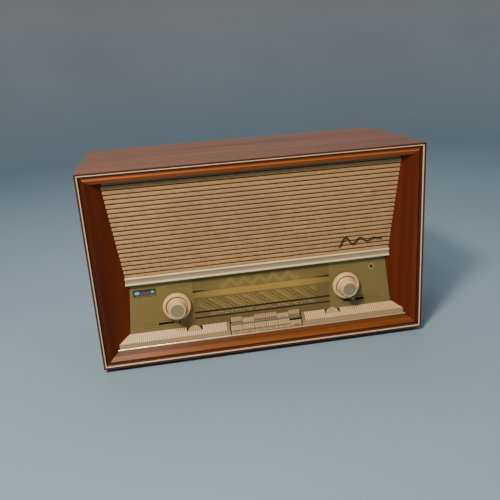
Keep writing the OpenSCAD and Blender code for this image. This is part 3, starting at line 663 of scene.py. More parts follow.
def gilt_strip(colours):
    """Bright ridges with the channel between them coloured darker brown."""
    def build(s):
        where = s.here()
        z = s.axes(where)[2]
        brushed = placed(s, brushed_group(), Vector=where, Color=rgba(colours.gilt), Tarnish=0.05)
        off = s.away(z, FACE_Z + STRIP_Z * MM)
        channel = s.ramp(off, 3.2 * MM, 4.2 * MM, 1.0, 0.0)
        shade = s.wash(brushed["Color"], channel, 0.8, (0.27, 0.15, 0.075))
        return {"Base Color": shade, "Roughness": brushed["Roughness"],
            "Metallic": s.blend(channel, 0.15, 0.0), "Normal": s.bump(brushed["Height"], 0.08,
            0.00006)}
    return material("Gilt strip", build, Coat_Weight=0.4, Coat_Roughness=0.12)


def dial_print(s, colours):
    """The dial's printed face: bands, lines, zigzags and ticks, in millimetres up the face."""
    x, y, z = s.axes(s.stretch(s.here(), (1000, 1000, 1000)))[:3]
    z = s.sub(z, FACE_Z / MM)
    away = s.math("ABSOLUTE", x)
    window = s.less(away, 134.0)

    # Ground tones and the lit band, which fades towards its ends.
    fade = s.ramp(away, 70.0, 134.0, 1.0, 0.25)
    lit = s.all_of(window, s.near(z, 110.0, 6.6), fade)
    glow = s.all_of(window, s.ramp(z, 96.0, 124.0), s.ramp(z, 124.0, 140.0, 1.0, 0.2), fade)
    lower = s.all_of(window, s.near(z, 89.5, 12.5), s.ramp(away, 40.0, 110.0, 1.0, 0.1))
    shade = s.wash(rgba(colours.olive), window, 0.8, colours.scale_brown)
    shade = s.wash(shade, glow, 0.16, colours.gold)
    shade = s.wash(shade, lower, 0.14, colours.gold)
    shade = s.wash(shade, lit, 0.55, colours.gold)

    # Station columns: leaning stripes of pale line, gold line and dark dashes.
    lean = s.add(x, s.mul(z, 1.35))
    stripe = s.fract(s.div(lean, 33.0))
    field = s.all_of(s.near(z, 89.5, 12.0), s.near(x, -8.0, 116.0))
    pale = s.all_of(field, s.any_of(s.near(stripe, 0.08, 0.022), s.near(stripe, 0.92, 0.018)))
    gilt = s.all_of(field, s.any_of(s.near(stripe, 0.30, 0.03), s.near(stripe, 0.62, 0.02)))
    row = s.fract(s.div(z, 2.9))
    letters = s.noise(s.stretch(s.here(), (620, 1, 345)), 1.0, 1.0)
    names = s.all_of(field, s.near(row, 0.5, 0.24), s.ramp(letters, 0.50, 0.56),
        s.near(stripe, 0.5, 0.36))

    # Ticks over the lit band and small dots below the zigzag.
    tick = s.repeat(x, 4.4, 0.12)
    ticks = s.all_of(window, tick, s.any_of(s.near(z, 105.2, 1.2), s.near(z, 115.0, 1.0)))
    dots = s.all_of(s.near(x, 0.0, 92.0), s.near(z, 110.0, 0.6), s.repeat(x, 9.1, 0.10))

    # Zigzag of the short-wave scale: parallel fine lines.
    climb = s.mul(s.math("PINGPONG", s.add(x, 75.5), 14.2), 16.5 / 14.2)
    wide = s.near(x, -4.0, 76.0)
    zig = s.sub(z, s.add(climb, 119.5))
    lines = s.all_of(wide, s.more(z, 118.5), s.less(z, 139.0),
        s.any_of(s.near(zig, 0.0, 0.42), s.near(zig, -4.6, 0.3), s.near(zig, 4.6, 0.3)))
    beads = s.all_of(wide, s.near(zig, -2.3, 0.8), s.repeat(x, 2.8, 0.2))

    # Heavy rules, tapered near the middle at the top.
    taper = s.mul(s.sub(away, 94.0), 0.045)
    top_rule = s.less(s.away(z, 117.6), taper)
    rules = s.all_of(window, s.any_of(top_rule, s.near(z, 75.6, 1.5), s.near(z, 64.2, 1.25),
        s.near(z, 103.3, 0.28)))
    foot = s.all_of(s.near(x, 0.0, 104.0), s.near(z, 69.8, 2.6))
    foot_marks = s.all_of(foot, s.ramp(s.noise(s.stretch(s.here(), (330, 1, 500)), 1.0, 1.0), 0.5,
        0.56))

    # Outlined boxes round the tone indicators, with a row of ticks outside.
    box = s.math("MAXIMUM", s.sub(s.away(away, 195.5), 36.0), s.sub(s.away(z, 62.2), 5.4))
    outline = s.near(box, 0.0, 0.32)
    steps = s.all_of(s.near(away, 217.0, 11.0), s.near(z, 62.2, 1.1), s.repeat(away, 5.6, 0.24))

    # A row of short marks over each knob, and a plain ring at the right.
    over = s.all_of(s.near(away, 163.0, 21.5), s.near(z, 132.4, 0.7), s.repeat(x, 5.4, 0.26))
    small = s.all_of(s.near(away, 111.0, 8.0), s.near(z, 128.0, 0.5), s.repeat(x, 3.6, 0.2))
    radius = s.reach(s.sub(x, 221.0), s.sub(z, 126.0))
    ring = s.near(radius, 5.4, 0.6)
    spot = s.less(radius, 2.4)

    gold_print = s.any_of(gilt, s.mul(beads, 0.8))
    cream_print = s.any_of(pale, lines, ring)
    ink_print = s.any_of(rules, s.mul(names, 0.75), s.mul(ticks, 0.6), s.mul(dots, 0.8),
        s.mul(outline, 0.6), s.mul(steps, 0.7), s.mul(over, 0.75), s.mul(small, 0.5), spot)
    shade = s.wash(shade, foot, 0.5, (0.16, 0.085, 0.04))
    shade = s.wash(shade, foot_marks, 0.45, colours.cream)
    shade = s.wash(shade, gold_print, 0.6, colours.gold)
    shade = s.wash(shade, cream_print, 0.42, colours.cream)
    shade = s.mix(ink_print, shade, rgba(colours.ink))
    clear = s.sub(window, s.any_of(ink_print, cream_print), clamp=True)
    return shade, clear


def dial_material(colours):
    """Printed glass: opaque print behind a polished face, a little clear in the scale window."""
    def build(s):
        shade, clear = dial_print(s, colours)
        where = s.here()
        care = placed(s, handling_group(), Vector=where, Amount=0.06)
        cloud = s.ramp(s.noise(where, 14.0, 4.0, 0.6), 0.35, 0.75)
        shade = s.wash(shade, cloud, 0.10, (0.12, 0.10, 0.04))
        return {"Base Color": shade, "Roughness": s.blend(care["Smudge"], 0.32, 0.45),
            "Alpha": s.blend(clear, 1.0, 0.90)}
    return material("Dial glass", build, Coat_Weight=0.12, Coat_Roughness=0.05, Coat_IOR=1.4,
        Specular_IOR_Level=0.15)


def glow_material(name, tint, strength):
    """Phosphor that glows most at its middle grain."""
    def build(s):
        grain = s.noise(s.here(), 900.0, 2.0, 0.6)
        shade = s.wash(rgba(tint), grain, 0.15, (0.6, 0.9, 0.8))
        return {"Base Color": shade, "Emission Color": shade,
            "Roughness": s.ramp(grain, 0.0, 1.0, 0.25, 0.45)}
    return material(name, build, Emission_Strength=strength, Coat_Weight=0.2, Coat_Roughness=0.05)


def clear_glass(name, tint):
    """Clear glass with a faint dusty bloom."""
    def build(s):
        bloom = s.ramp(s.noise(s.here(), 60.0, 4.0, 0.7), 0.4, 0.8)
        return {"Base Color": s.mix(s.mul(bloom, 0.15), rgba(tint), (0.75, 0.72, 0.66, 1)),
            "Roughness": s.ramp(bloom, 0.0, 1.0, 0.03, 0.2)}
    return material(name, build, Transmission_Weight=0.9, IOR=1.5)


def banded(name, pale, dark, pitch):
    """Windings, laminations and cord: fine bands across X with a soft sheen."""
    def build(s):
        where = s.here()
        x, y, z = s.axes(where)[:3]
        band = s.math("SINE", s.mul(s.div(s.add(x, z), pitch), math.tau))
        fine = s.noise(where, 500.0, 3.0, 0.6)
        tone = s.add(s.ramp(band, -1.0, 1.0, 0.0, 0.6), s.mul(fine, 0.4))
        return {"Base Color": s.mix(tone, rgba(dark), rgba(pale)),
            "Roughness": s.ramp(fine, 0.0, 1.0, 0.4, 0.7), "Normal": s.bump(tone, 0.3, 0.0002)}
    return material(name, build)


# ---- Modelling ----

def clear_selection():
    if bpy.context.mode != "OBJECT":
        bpy.ops.object.mode_set(mode="OBJECT")
    bpy.ops.object.select_all(action="DESELECT")


def active(name):
    made = bpy.context.object
    made.name = name
    made.data.name = name
    return made


def hold(obj):
    """Selects one object alone and makes it the active one."""
    clear_selection()
    obj.select_set(True)
    bpy.context.view_layer.objects.active = obj


def edit(obj, mode="FACE"):
    hold(obj)
    bpy.ops.object.mode_set(mode="EDIT")
    bpy.ops.mesh.select_mode(type=mode)
    bpy.ops.mesh.select_all(action="DESELECT")


def edit_all(obj):
    edit(obj)
    bpy.ops.mesh.select_all(action="SELECT")


def pick(obj, wanted, mode="FACE"):
    """In edit mode, selects the faces or vertices that wanted() accepts, by centre and normal."""
    bpy.ops.object.mode_set(mode="OBJECT")
    parts = obj.data.polygons if mode == "FACE" else obj.data.vertices
    for part in parts:
        where = part.center if mode == "FACE" else part.co
        part.select = wanted(where, part.normal)
    bpy.ops.object.mode_set(mode="EDIT")


def leave():
    bpy.ops.object.mode_set(mode="OBJECT")


def modify(obj, kind, **settings):
    """Adds a modifier and applies it."""
    hold(obj)
    made = obj.modifiers.new(kind.title(), kind)
    for key, value in settings.items():
        setattr(made, key, value)
    bpy.ops.object.modifier_apply(modifier=made.name)


def settle(obj, matrix):
    """Puts a piece where it belongs and applies its place to its mesh."""
    hold(obj)
    obj.matrix_world = matrix @ obj.matrix_world
    bpy.ops.object.transform_apply()


def outward(obj):
    """Merges doubles and points the faces of a closed shell outwards."""
    edit_all(obj)
    bpy.ops.mesh.remove_doubles(threshold=1e-6)
    bpy.ops.mesh.normals_make_consistent(inside=False)
    leave()


def soften(obj, angle=35):
    hold(obj)
    bpy.ops.object.shade_smooth_by_angle(angle=math.radians(angle))


def dress(obj, finish, body):
    obj.data.materials.clear()
    obj.data.materials.append(finish)
    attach(obj, body)


def finish_nodes(finish, *names):
    """Gives CAD nodes their finish."""
    for name in names:
        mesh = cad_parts[name].data
        mesh.materials.clear()
        mesh.materials.append(finish)


def join(objects, name):
    clear_selection()
    for obj in objects:
        obj.select_set(True)
    bpy.context.view_layer.objects.active = objects[0]
    bpy.ops.object.join()
    return active(name)


def block(name, size):
    """A box of this size about the origin."""
    clear_selection()
    bpy.ops.mesh.primitive_cube_add(size=1)
    made = active(name)
    made.scale = size
    bpy.ops.object.transform_apply()
    return made


def flute_row(first, last, start, end, pitch, height):
    """Raised flutes from x first to last, each from start to end (back, up), in millimetres."""
    run = math.hypot(end[0] - start[0], end[1] - start[1])
    slope = math.atan2(end[1] - start[1], end[0] - start[0])
    count = max(1, round((last - first) / pitch))
    step = (last - first) / count
    wide = step * 0.8
    sunk = 0.1
    clear_selection()
    bpy.ops.mesh.primitive_cube_add(size=MM, location=(0, 0, (height - sunk) / 2 * MM))
    flute = active("flute")
    flute.scale = (wide, run, height + sunk)
    bpy.ops.object.transform_apply()
    edit(flute)
    pick(flute, lambda where, normal: normal.z > 0.9)
    bpy.ops.transform.resize(value=(0.72, 0.97, 1))
    leave()
    if count > 1:
        modify(flute, "ARRAY", count=count, use_relative_offset=False, use_constant_offset=True,
            constant_offset_displace=(step * MM, 0, 0))
    middle = at(first + step / 2, (start[0] + end[0]) / 2, (start[1] + end[1]) / 2)
    settle(flute, Matrix.Translation(middle) @ Matrix.Rotation(slope, 4, "X"))
    return flute


def trim_to_recess(obj, margin):
    """Cuts a piece off where it would meet the splayed boards."""
    for side in (-1, 1):
        edit_all(obj)
        bpy.ops.mesh.bisect(plane_co=(side * (RECESS_HALF - margin), FRONT_Y, 0),
            plane_no=(side, RECESS_SLOPE, 0), use_fill=True, clear_outer=True)
        leave()


# ---- Operators ----

class RADIO_OT_cabinet(Operator):
    """Lacquered veneer on the cabinet boards"""
    bl_idname = "radio.cabinet"
    bl_label = "Cabinet"

    def execute(self, context):
        tint = context.scene.radio_colours
        light, dark = tint.veneer_light, tint.veneer_dark
        finish_nodes(veneer("Veneer top", ALONG_X, light, dark, (0, 0, 0)), "cabinet_top")
        finish_nodes(veneer("Veneer bottom", ALONG_X, light, dark, (2, 1, 0)), "cabinet_bottom")
        finish_nodes(veneer("Veneer left", ALONG_Z, light, dark, (0, 3, 1)), "side_left")
        finish_nodes(veneer("Veneer right", ALONG_Z, light, dark, (4, 0, 2)), "side_right")
        return {"FINISHED"}


class RADIO_OT_front(Operator):
    """Frame, piping, splayed boards, gilt strip and brass trim"""
    bl_idname = "radio.front"
    bl_label = "Front"

    def execute(self, context):
        tint = context.scene.radio_colours
        finish_nodes(frame_wood(tint), "front_frame")
        finish_nodes(splay_wood(tint), "splay_boards")
        finish_nodes(moulded("Piping", tint.piping, 0.28, 0.6), "edge_piping")
        finish_nodes(gilt_strip(tint), "divider_strip")
        finish_nodes(metal("Brass trim", tint.brass, 0.12, ALONG_X, 0.8, 0.3), "shelf_trim")
        finish_nodes(raw_board("Baffle", (0.30, 0.20, 0.11), (0.15, 0.09, 0.05)), "baffle_board")
        return {"FINISHED"}


class RADIO_OT_cloth(Operator):
    """Pleated loudspeaker cloth, cut to the recess, with a wave of wire on it"""
    bl_idname = "radio.cloth"
    bl_label = "Cloth"

    def execute(self, context):
        sizes = context.scene.radio_sizes
        tint = context.scene.radio_colours
        pitch = sizes.pleat_pitch
        depth = sizes.pleat_depth
        half = 290 * MM
        count = int(CLOTH_H * MM / pitch)

        # One pleat: a flat strip, cut into rows and drawn out at its lower edge.
        clear_selection()
        bpy.ops.mesh.primitive_plane_add(size=1, location=(0, 0, pitch / 2),
            rotation=(math.radians(90), 0, 0))
        cloth = active("grille_cloth")
        cloth.scale = (2 * half, pitch, 1)
        bpy.ops.object.transform_apply()
        shares = (0.0, 0.08, 0.13, 0.2, 0.36, 0.62, 0.86, 1.0)
        stands = (0.0, 0.04, 0.72, 0.94, 1.0, 0.80, 0.46, 0.0)
        for share in shares[1:-1]:
            edit_all(cloth)
            bpy.ops.mesh.bisect(plane_co=(0, 0, share * pitch), plane_no=(0, 0, 1))
            leave()
        for share, stand in zip(shares, stands):
            edit(cloth, "VERT")
            pick(cloth, lambda where, normal: abs(where.z - share * pitch) < pitch * 0.01, "VERT")
            bpy.ops.transform.translate(value=(0, -stand * depth, 0))
            leave()
        modify(cloth, "ARRAY", count=count, use_relative_offset=False, use_constant_offset=True,
            constant_offset_displace=(0, 0, pitch), use_merge_vertices=True, merge_threshold=1e-5)
        settle(cloth, cloth_plane(0, 2.4, 0.5))
        trim_to_recess(cloth, RECESS_GAP)
        modify(cloth, "SOLIDIFY", thickness=sizes.cloth_thickness, offset=0.0)
        outward(cloth)
        soften(cloth, 50)
        dress(cloth, cloth_material(tint, pitch), "cabinet")
        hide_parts("speaker_cloth")
        self.ornament(sizes)
        return {"FINISHED"}

    def ornament(self, sizes):
        """A plain wave of blackened wire that dies away to the right."""
        clear_selection()
        bpy.ops.curve.primitive_bezier_curve_add()
        wave = bpy.context.object
        spline = wave.data.splines[0]
        spline.bezier_points.add(5)
        for i, point in enumerate(spline.bezier_points):
            swing = (20 - 3.2 * i) * (1 if i % 2 else -1)
            point.co = Vector((-36 + 14.4 * i, 0, 0.45 * swing)) * MM
            point.handle_left_type = point.handle_right_type = "ALIGNED"
            point.handle_left = point.co - Vector((6.4, 0, 0)) * MM
            point.handle_right = point.co + Vector((6.4, 0, 0)) * MM
        wave.data.bevel_depth = sizes.ornament_radius
        wave.data.bevel_resolution = 3
        wave.data.use_fill_caps = True
        bpy.ops.object.convert(target="MESH")
        wave = active("wave_ornament")
        settle(wave, cloth_plane(189, -0.9, 35) @ Matrix.Scale(0.6, 4, (0, 1, 0)))
        outward(wave)
        soften(wave)
        dress(wave, metal("Blackened wire", (0.012, 0.008, 0.006), 0.1, ALONG_X, 0.0, 0.3),
            "cabinet")


class RADIO_OT_dial(Operator):
    """Printed glass, lamp plate, and the indicator's window, plate and glows"""
    bl_idname = "radio.dial"
    bl_label = "Dial"

    eye_x = -223
    eye_up = 77
    eye_half = (21.2, 7.2)

    def plate(self, name, half_w, half_h, thick, round_by, matrix):
        """A thin plate with round corners and softened edges, facing the front."""
        clear_selection()
        bpy.ops.mesh.primitive_plane_add(size=2)
        made = active(name)
        made.scale = (half_w * MM, half_h * MM, 1)
        bpy.ops.object.transform_apply()
        edit(made, "VERT")
        bpy.ops.mesh.select_all(action="SELECT")
        bpy.ops.mesh.bevel(offset=round_by * MM, segments=5, affect="VERTICES")
        bpy.ops.mesh.select_mode(type="FACE")
        bpy.ops.mesh.select_all(action="SELECT")
        bpy.ops.mesh.extrude_region_move(TRANSFORM_OT_translate={"value": (0, 0, thick * MM)})
        leave()
        outward(made)
        modify(made, "BEVEL", width=min(thick, 0.5) * 0.4 * MM, segments=2, limit_method="ANGLE",
            angle_limit=math.radians(50))
        settle(made, matrix @ FACING_FRONT)
        soften(made)
        return made

    def execute(self, context):
        sizes = context.scene.radio_sizes
        tint = context.scene.radio_colours
        finish_nodes(dial_material(tint), "dial_glass")
        finish_nodes(moulded("Lamp plate", (0.78, 0.72, 0.58), 0.5, 0.0), "dial_reflector")
        finish_nodes(clear_glass("Indicator glass", (0.75, 0.92, 0.88)), "tuning_eye")
        finish_nodes(moulded("Needle lacquer", (0.62, 0.06, 0.03), 0.3, 0.4), "am_pointer",
            "fm_pointer")
        finish_nodes(moulded("Flag paint", (0.82, 0.78, 0.66), 0.45, 0.0), "bass_marker",
            "treble_marker")

        # A raised line round the window: a plate with its middle taken out.
        rim = sizes.bezel_width
        outer = self.plate("eye_bezel", *self.eye_half, 0.7, 1.6, Matrix.Identity(4))
        hole = self.plate("eye_hole", *(half - rim / MM for half in self.eye_half), 3.0, 1.0,
            Matrix.Translation((0, 1 * MM, 0)))
        modify(outer, "BOOLEAN", object=hole, operation="DIFFERENCE", solver="EXACT")
        bpy.data.objects.remove(hole)
        settle(outer, dial_plane(self.eye_x, 0.05, self.eye_up))
        dress(outer, moulded("Bezel lacquer", (0.12, 0.035, 0.02), 0.35, 0.4), "cabinet")

        back = self.plate("eye_plate", 22, 8, 0.8, 1.2, dial_plane(self.eye_x, 4.2, self.eye_up))

        def lined(s):
            where = s.here()
            z = s.axes(where)[2]
            rail = s.repeat(z, 3.1 * MM, 0.14)
            grain = s.noise(where, 400.0, 3.0, 0.6)
            shade = s.wash(rgba(tint.eye_plate), rail, 0.6, (0.33, 0.25, 0.30))
            return {"Base Color": s.wash(shade, grain, 0.3, (0, 0, 0)),
                "Roughness": s.ramp(grain, 0.0, 1.0, 0.3, 0.5)}
        dress(back, material("Indicator plate", lined, Coat_Weight=0.5, Coat_Roughness=0.1),
            "cabinet")

        for name, x, half_w, half_h, shade, strength in (("eye_glow_left", self.eye_x - 14.5, 4.4,
                2.9, tint.eye_blue, 1.0), ("eye_glow_right", self.eye_x + 14.5, 2.7, 2.5,
                tint.eye_green, 0.8)):
            glow = self.plate(name, half_w, half_h, 1.2, 2.3, dial_plane(x, 3.4, self.eye_up))
            dress(glow, glow_material(name.replace("_", " ").title(), shade, strength), "cabinet")
        return {"FINISHED"}


class RADIO_OT_shelf(Operator):
    """Ivory shelf with flutes, cut short where the thumbwheels rise through it"""
    bl_idname = "radio.shelf"
    bl_label = "Shelf"

    def execute(self, context):
        sizes = context.scene.radio_sizes
        tint = context.scene.radio_colours
        ivory = moulded("Ivory plastic", tint.ivory)
        # Painted shade: the shelf takes a darker copy of the knobs' ivory.
        finish_nodes(moulded("Shelf plastic", [part * 0.55 for part in tint.ivory],
            grip=flute_floor), "key_shelf")
        hub = Vector((WHEEL_X * MM, 0, at(0, 0, WHEEL_Z).z))
        finish_nodes(moulded("Wheel plastic", tint.ivory, grip=lambda s: grip_lines(s, hub,
            math.tau / WHEEL_RIBS)), "bass_wheel", "treble_wheel")
        pitch = sizes.flute_pitch / MM
        height = sizes.flute_height / MM
        slope = (SHELF_BACK[1] - SHELF_FRONT[1]) / (SHELF_BACK[0] - SHELF_FRONT[0])
        short_of = WHEEL_SLOT_Y - 0.4
        short = (short_of, SHELF_FRONT[1] + slope * (short_of - SHELF_FRONT[0]))
        low = (SHELF_FRONT[0] + 0.5, SHELF_FRONT[1] + 0.5 * slope)
        high = (SHELF_BACK[0] - 0.4, SHELF_BACK[1] - 0.4 * slope)
        rows = []
        for side, near_end in ((-1, BANK[0] - 4), (1, BANK[1] + 4)):
            slot_near = WHEEL_X - WHEEL_SLOT_HALF - 0.8
            slot_far = WHEEL_X + WHEEL_SLOT_HALF + 0.8
            for near, far, end in ((abs(near_end), slot_near, high), (slot_near, slot_far, short),
                    (slot_far, SHELF_END, high)):
                first, last = sorted((side * near, side * far))
                rows.append(flute_row(first, last, low, end, pitch, height))
        flutes = join(rows, "shelf_flutes")
        trim_to_recess(flutes, RECESS_GAP + 0.5 * MM)
        dress(flutes, ivory, "cabinet")
        return {"FINISHED"}


class RADIO_OT_keys(Operator):
    """Two rows of fluted keys, three of them held down"""
    bl_idname = "radio.keys"
    bl_label = "Keys"

    # Name of a row, its caps' sloping face (back, up) at both ends, pivot height, keys held
    # down and the angle that they are held at.
    rows = (("upper", (25.7, 49.4), (28.0, 57.4), UPPER_PIVOT_Z, (2, 5), 4.5),
        ("lower", (16.8, 35.0), (23.4, 42.6), LOWER_PIVOT_Z, (6,), 6.0))

    def execute(self, context):
        sizes = context.scene.radio_sizes
        caps = key_plastic(context.scene.radio_colours, True)
        plastic = key_plastic(context.scene.radio_colours)
        pitch = sizes.flute_pitch / MM
        height = sizes.flute_height / MM
        for row, low, high, pivot_z, down, angle in self.rows:
            for i in range(1, 7):
                node = f"{row}_key_{i}"
                finish_nodes(caps, node)
                left, right = (corner.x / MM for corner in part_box(node))
                flutes = flute_row(left, right, low, high, pitch, height)
                flutes.name = flutes.data.name = f"{row}_flutes_{i}"
                if i in down:
                    pivot = Matrix.Translation(at(0, PIVOT_Y, pivot_z))
                    turn = Matrix.Rotation(math.radians(angle), 4, "X")
                    settle(flutes, pivot @ turn @ pivot.inverted())
                dress(flutes, plastic, f"{row}_{i}")
        return {"FINISHED"}


class RADIO_OT_knobs(Operator):
    """Knobs with turned face caps and index marks"""
    bl_idname = "radio.knobs"
    bl_label = "Knobs"

    # Distance of the ring's notch and of the knob's rib from the knob's line.
    ring_mark_at = 24.6 * MM
    knob_mark_at = 17.6 * MM
    # Side, inner and outer node, their bodies, and how far round the rib and the notch stand.
    sides = (("left", "volume_knob", "balance_ring", "volume", "balance", -10, 21),
             ("right", "tuning_knob", "fm_ring", "tuning", "fm_tuning", -32, 152))

    def cap(self, name, x, y, z, radius, height):
        """A turned disc with concentric steps and a softened rim."""
        clear_selection()
        bpy.ops.mesh.primitive_circle_add(vertices=96, radius=radius, fill_type="NGON")
        made = active(name)
        edit_all(made)
        bpy.ops.mesh.extrude_region_move(TRANSFORM_OT_translate={"value": (0, 0, height)})
        for step, drop in ((0.08, -0.10), (0.02, 0.0), (0.10, 0.07), (0.30, 0.0), (0.28, 0.02)):
            bpy.ops.mesh.inset(thickness=radius * step)
            bpy.ops.transform.translate(value=(0, 0, height * drop))
        leave()
        outward(made)
        modify(made, "BEVEL", width=0.12 * MM, segments=2, limit_method="ANGLE",
            angle_limit=math.radians(40))
        settle(made, Matrix.Translation((x, y, z)) @ FACING_FRONT)
        soften(made, 30)
        return made

    def mark(self, name, centre, radius, turn, y, long, width, proud):
        """A small bevelled bar at a radius from the knob's line, turned round from the top."""
        made = block(name, (width, proud, long))
        modify(made, "BEVEL", width=min(width, proud) * 0.3, segments=3)
        spin = Matrix.Rotation(math.radians(turn), 4, "Y")
        settle(made, Matrix.Translation((centre.x, 0, centre.z)) @ spin @ Matrix.Translation((0, y,
            radius)))
        soften(made)
        return made

    def execute(self, context):
        sizes = context.scene.radio_sizes
        tint = context.scene.radio_colours
        ivory = moulded("Knob plastic", tint.ivory, 0.30, 0.45)
        finish_nodes(ivory, "volume_knob", "tuning_knob", "balance_ring", "fm_ring")
        finish_nodes(metal("Shaft steel", (0.62, 0.62, 0.6), 0.2, ALONG_Y), "volume_shaft",
            "tuning_shaft")

        def turned(s, centre):
            where = s.stretch(s.here(), (1, 1, 1), (0, 0, 0), (-centre.x, 0, -centre.z))
            x, y, z = s.axes(where)[:3]
            radius = s.reach(x, z)
            rings = s.math("SINE", s.mul(radius, math.tau / (0.45 * MM)))
            uneven = s.noise(where, 300.0, 3.0, 0.6)
            shade = s.wash(rgba(tint.cap), s.ramp(rings, -1.0, 1.0), 0.3, (0.14, 0.13, 0.08))
            shade = s.wash(shade, uneven, 0.35, (0.36, 0.34, 0.22))
            return {"Base Color": shade, "Roughness": s.ramp(uneven, 0.0, 1.0, 0.35, 0.55),
                "Normal": s.bump(rings, 0.3, 0.00008)}

        for side, inner, outer, inner_body, outer_body, rib_turn, ring_turn in self.sides:
            low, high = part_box(inner)
            centre = (low + high) / 2
            face = low.y
            cap = self.cap(f"{side}_cap", centre.x, face + 1.3 * MM, centre.z, sizes.cap_radius,
                sizes.cap_height)
            finish = material(f"{side.title()} cap", lambda s: turned(s, centre), Metallic=0.6,
                Coat_Weight=0.2, Coat_Roughness=0.2)
            dress(cap, finish, inner_body)
            ring_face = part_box(outer)[0].y
            notch = self.mark(f"{side}_ring_mark", centre, self.ring_mark_at, ring_turn,
                              ring_face + 0.9 * MM, 2.4 * MM, sizes.index_width, 0.9 * MM)
            dress(notch, moulded("Mark lacquer", (0.06, 0.04, 0.02), 0.4, 0.2), outer_body)
            rib = self.mark(f"{side}_knob_mark", centre, self.knob_mark_at, rib_turn,
                            ring_face + 1.7 * MM, 2.2 * MM, sizes.index_width, 1.6 * MM)
            dress(rib, moulded("Rib plastic", (0.9, 0.8, 0.62), 0.3, 0.4), inner_body)
        return {"FINISHED"}


class RADIO_OT_works(Operator):
    """Chassis, valves, gang, drive and loudspeakers"""
    bl_idname = "radio.works"
    bl_label = "Works"

    def execute(self, context):
        steel = metal("Chassis steel", (0.55, 0.55, 0.52), 0.35)
        finish_nodes(steel, "chassis", "key_frame", "gang_frame")
        finish_nodes(metal("Vane aluminium", (0.78, 0.79, 0.78), 0.1, ALONG_Z), "gang_rotor")
        finish_nodes(metal("Can aluminium", (0.75, 0.76, 0.77), 0.15, ALONG_Z), "chassis_cans")
        finish_nodes(metal("Drum metal", (0.66, 0.63, 0.56), 0.25), "drive_drum")
        finish_nodes(metal("Pulley brass", (0.78, 0.62, 0.34), 0.3), "pulley_left", "pulley_right")
        finish_nodes(metal("Basket metal", (0.40, 0.41, 0.42), 0.3), "main_speaker", "tweeters")
        finish_nodes(metal("Pot metal", (0.45, 0.43, 0.38), 0.3, ALONG_Y), "potentiometers")
        finish_nodes(banded("Cone paper", (0.07, 0.06, 0.05), (0.03, 0.026, 0.022), 0.004),
            "speaker_cone")
        finish_nodes(banded("Laminations", (0.16, 0.15, 0.14), (0.06, 0.05, 0.045), 0.001),
            "transformers")
        finish_nodes(banded("Ferrite windings", (0.30, 0.17, 0.08), (0.05, 0.04, 0.04), 0.0012),
            "ferrite_rod")
        finish_nodes(banded("Drive cord", (0.80, 0.70, 0.48), (0.42, 0.33, 0.2), 0.0009),
            "dial_cord")
        finish_nodes(clear_glass("Valve glass", (0.80, 0.86, 0.86)), "valves")
        return {"FINISHED"}


class RADIO_OT_back(Operator):
    """Hardboard back, slotted screws, sockets, grommet and feet"""
    bl_idname = "radio.back"
    bl_label = "Back"

    def execute(self, context):
        tint = context.scene.radio_colours
        board = tint.hardboard
        finish_nodes(raw_board("Hardboard", board, tuple(part * 0.45 for part in board)),
            "back_cover")
        finish_nodes(raw_board("Laminate", (0.32, 0.17, 0.08), (0.14, 0.07, 0.035)),
            "rear_sockets")
        finish_nodes(metal("Screw brass", (0.72, 0.58, 0.32), 0.4), "back_screws")
        finish_nodes(moulded("Rubber", (0.03, 0.028, 0.026), 0.7, 0.0), "feet", "mains_grommet")
        self.screw_slots()
        return {"FINISHED"}

    def screw_slots(self):
        """A dark slot across each screw head."""
        low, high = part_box("back_screws")
        head = 3.8 * MM
        heights = (low.z + head, (low.z + high.z) / 2, high.z - head)
        slots = []
        for side in (-1, 1):
            for turn, z in zip((20, 75, -35), heights):
                slot = block("slot", (5.6 * MM, 0.5 * MM, 0.9 * MM))
                modify(slot, "BEVEL", width=0.12 * MM, segments=2)
                settle(slot, Matrix.Translation((side * (high.x - head), high.y - 0.2 * MM,
                    z)) @ Matrix.Rotation(math.radians(turn * side), 4, "Y"))
                slots.append(slot)
        made = join(slots, "screw_slots")
        dress(made, moulded("Slot shadow", (0.05, 0.035, 0.02), 0.6, 0.0), "cabinet")


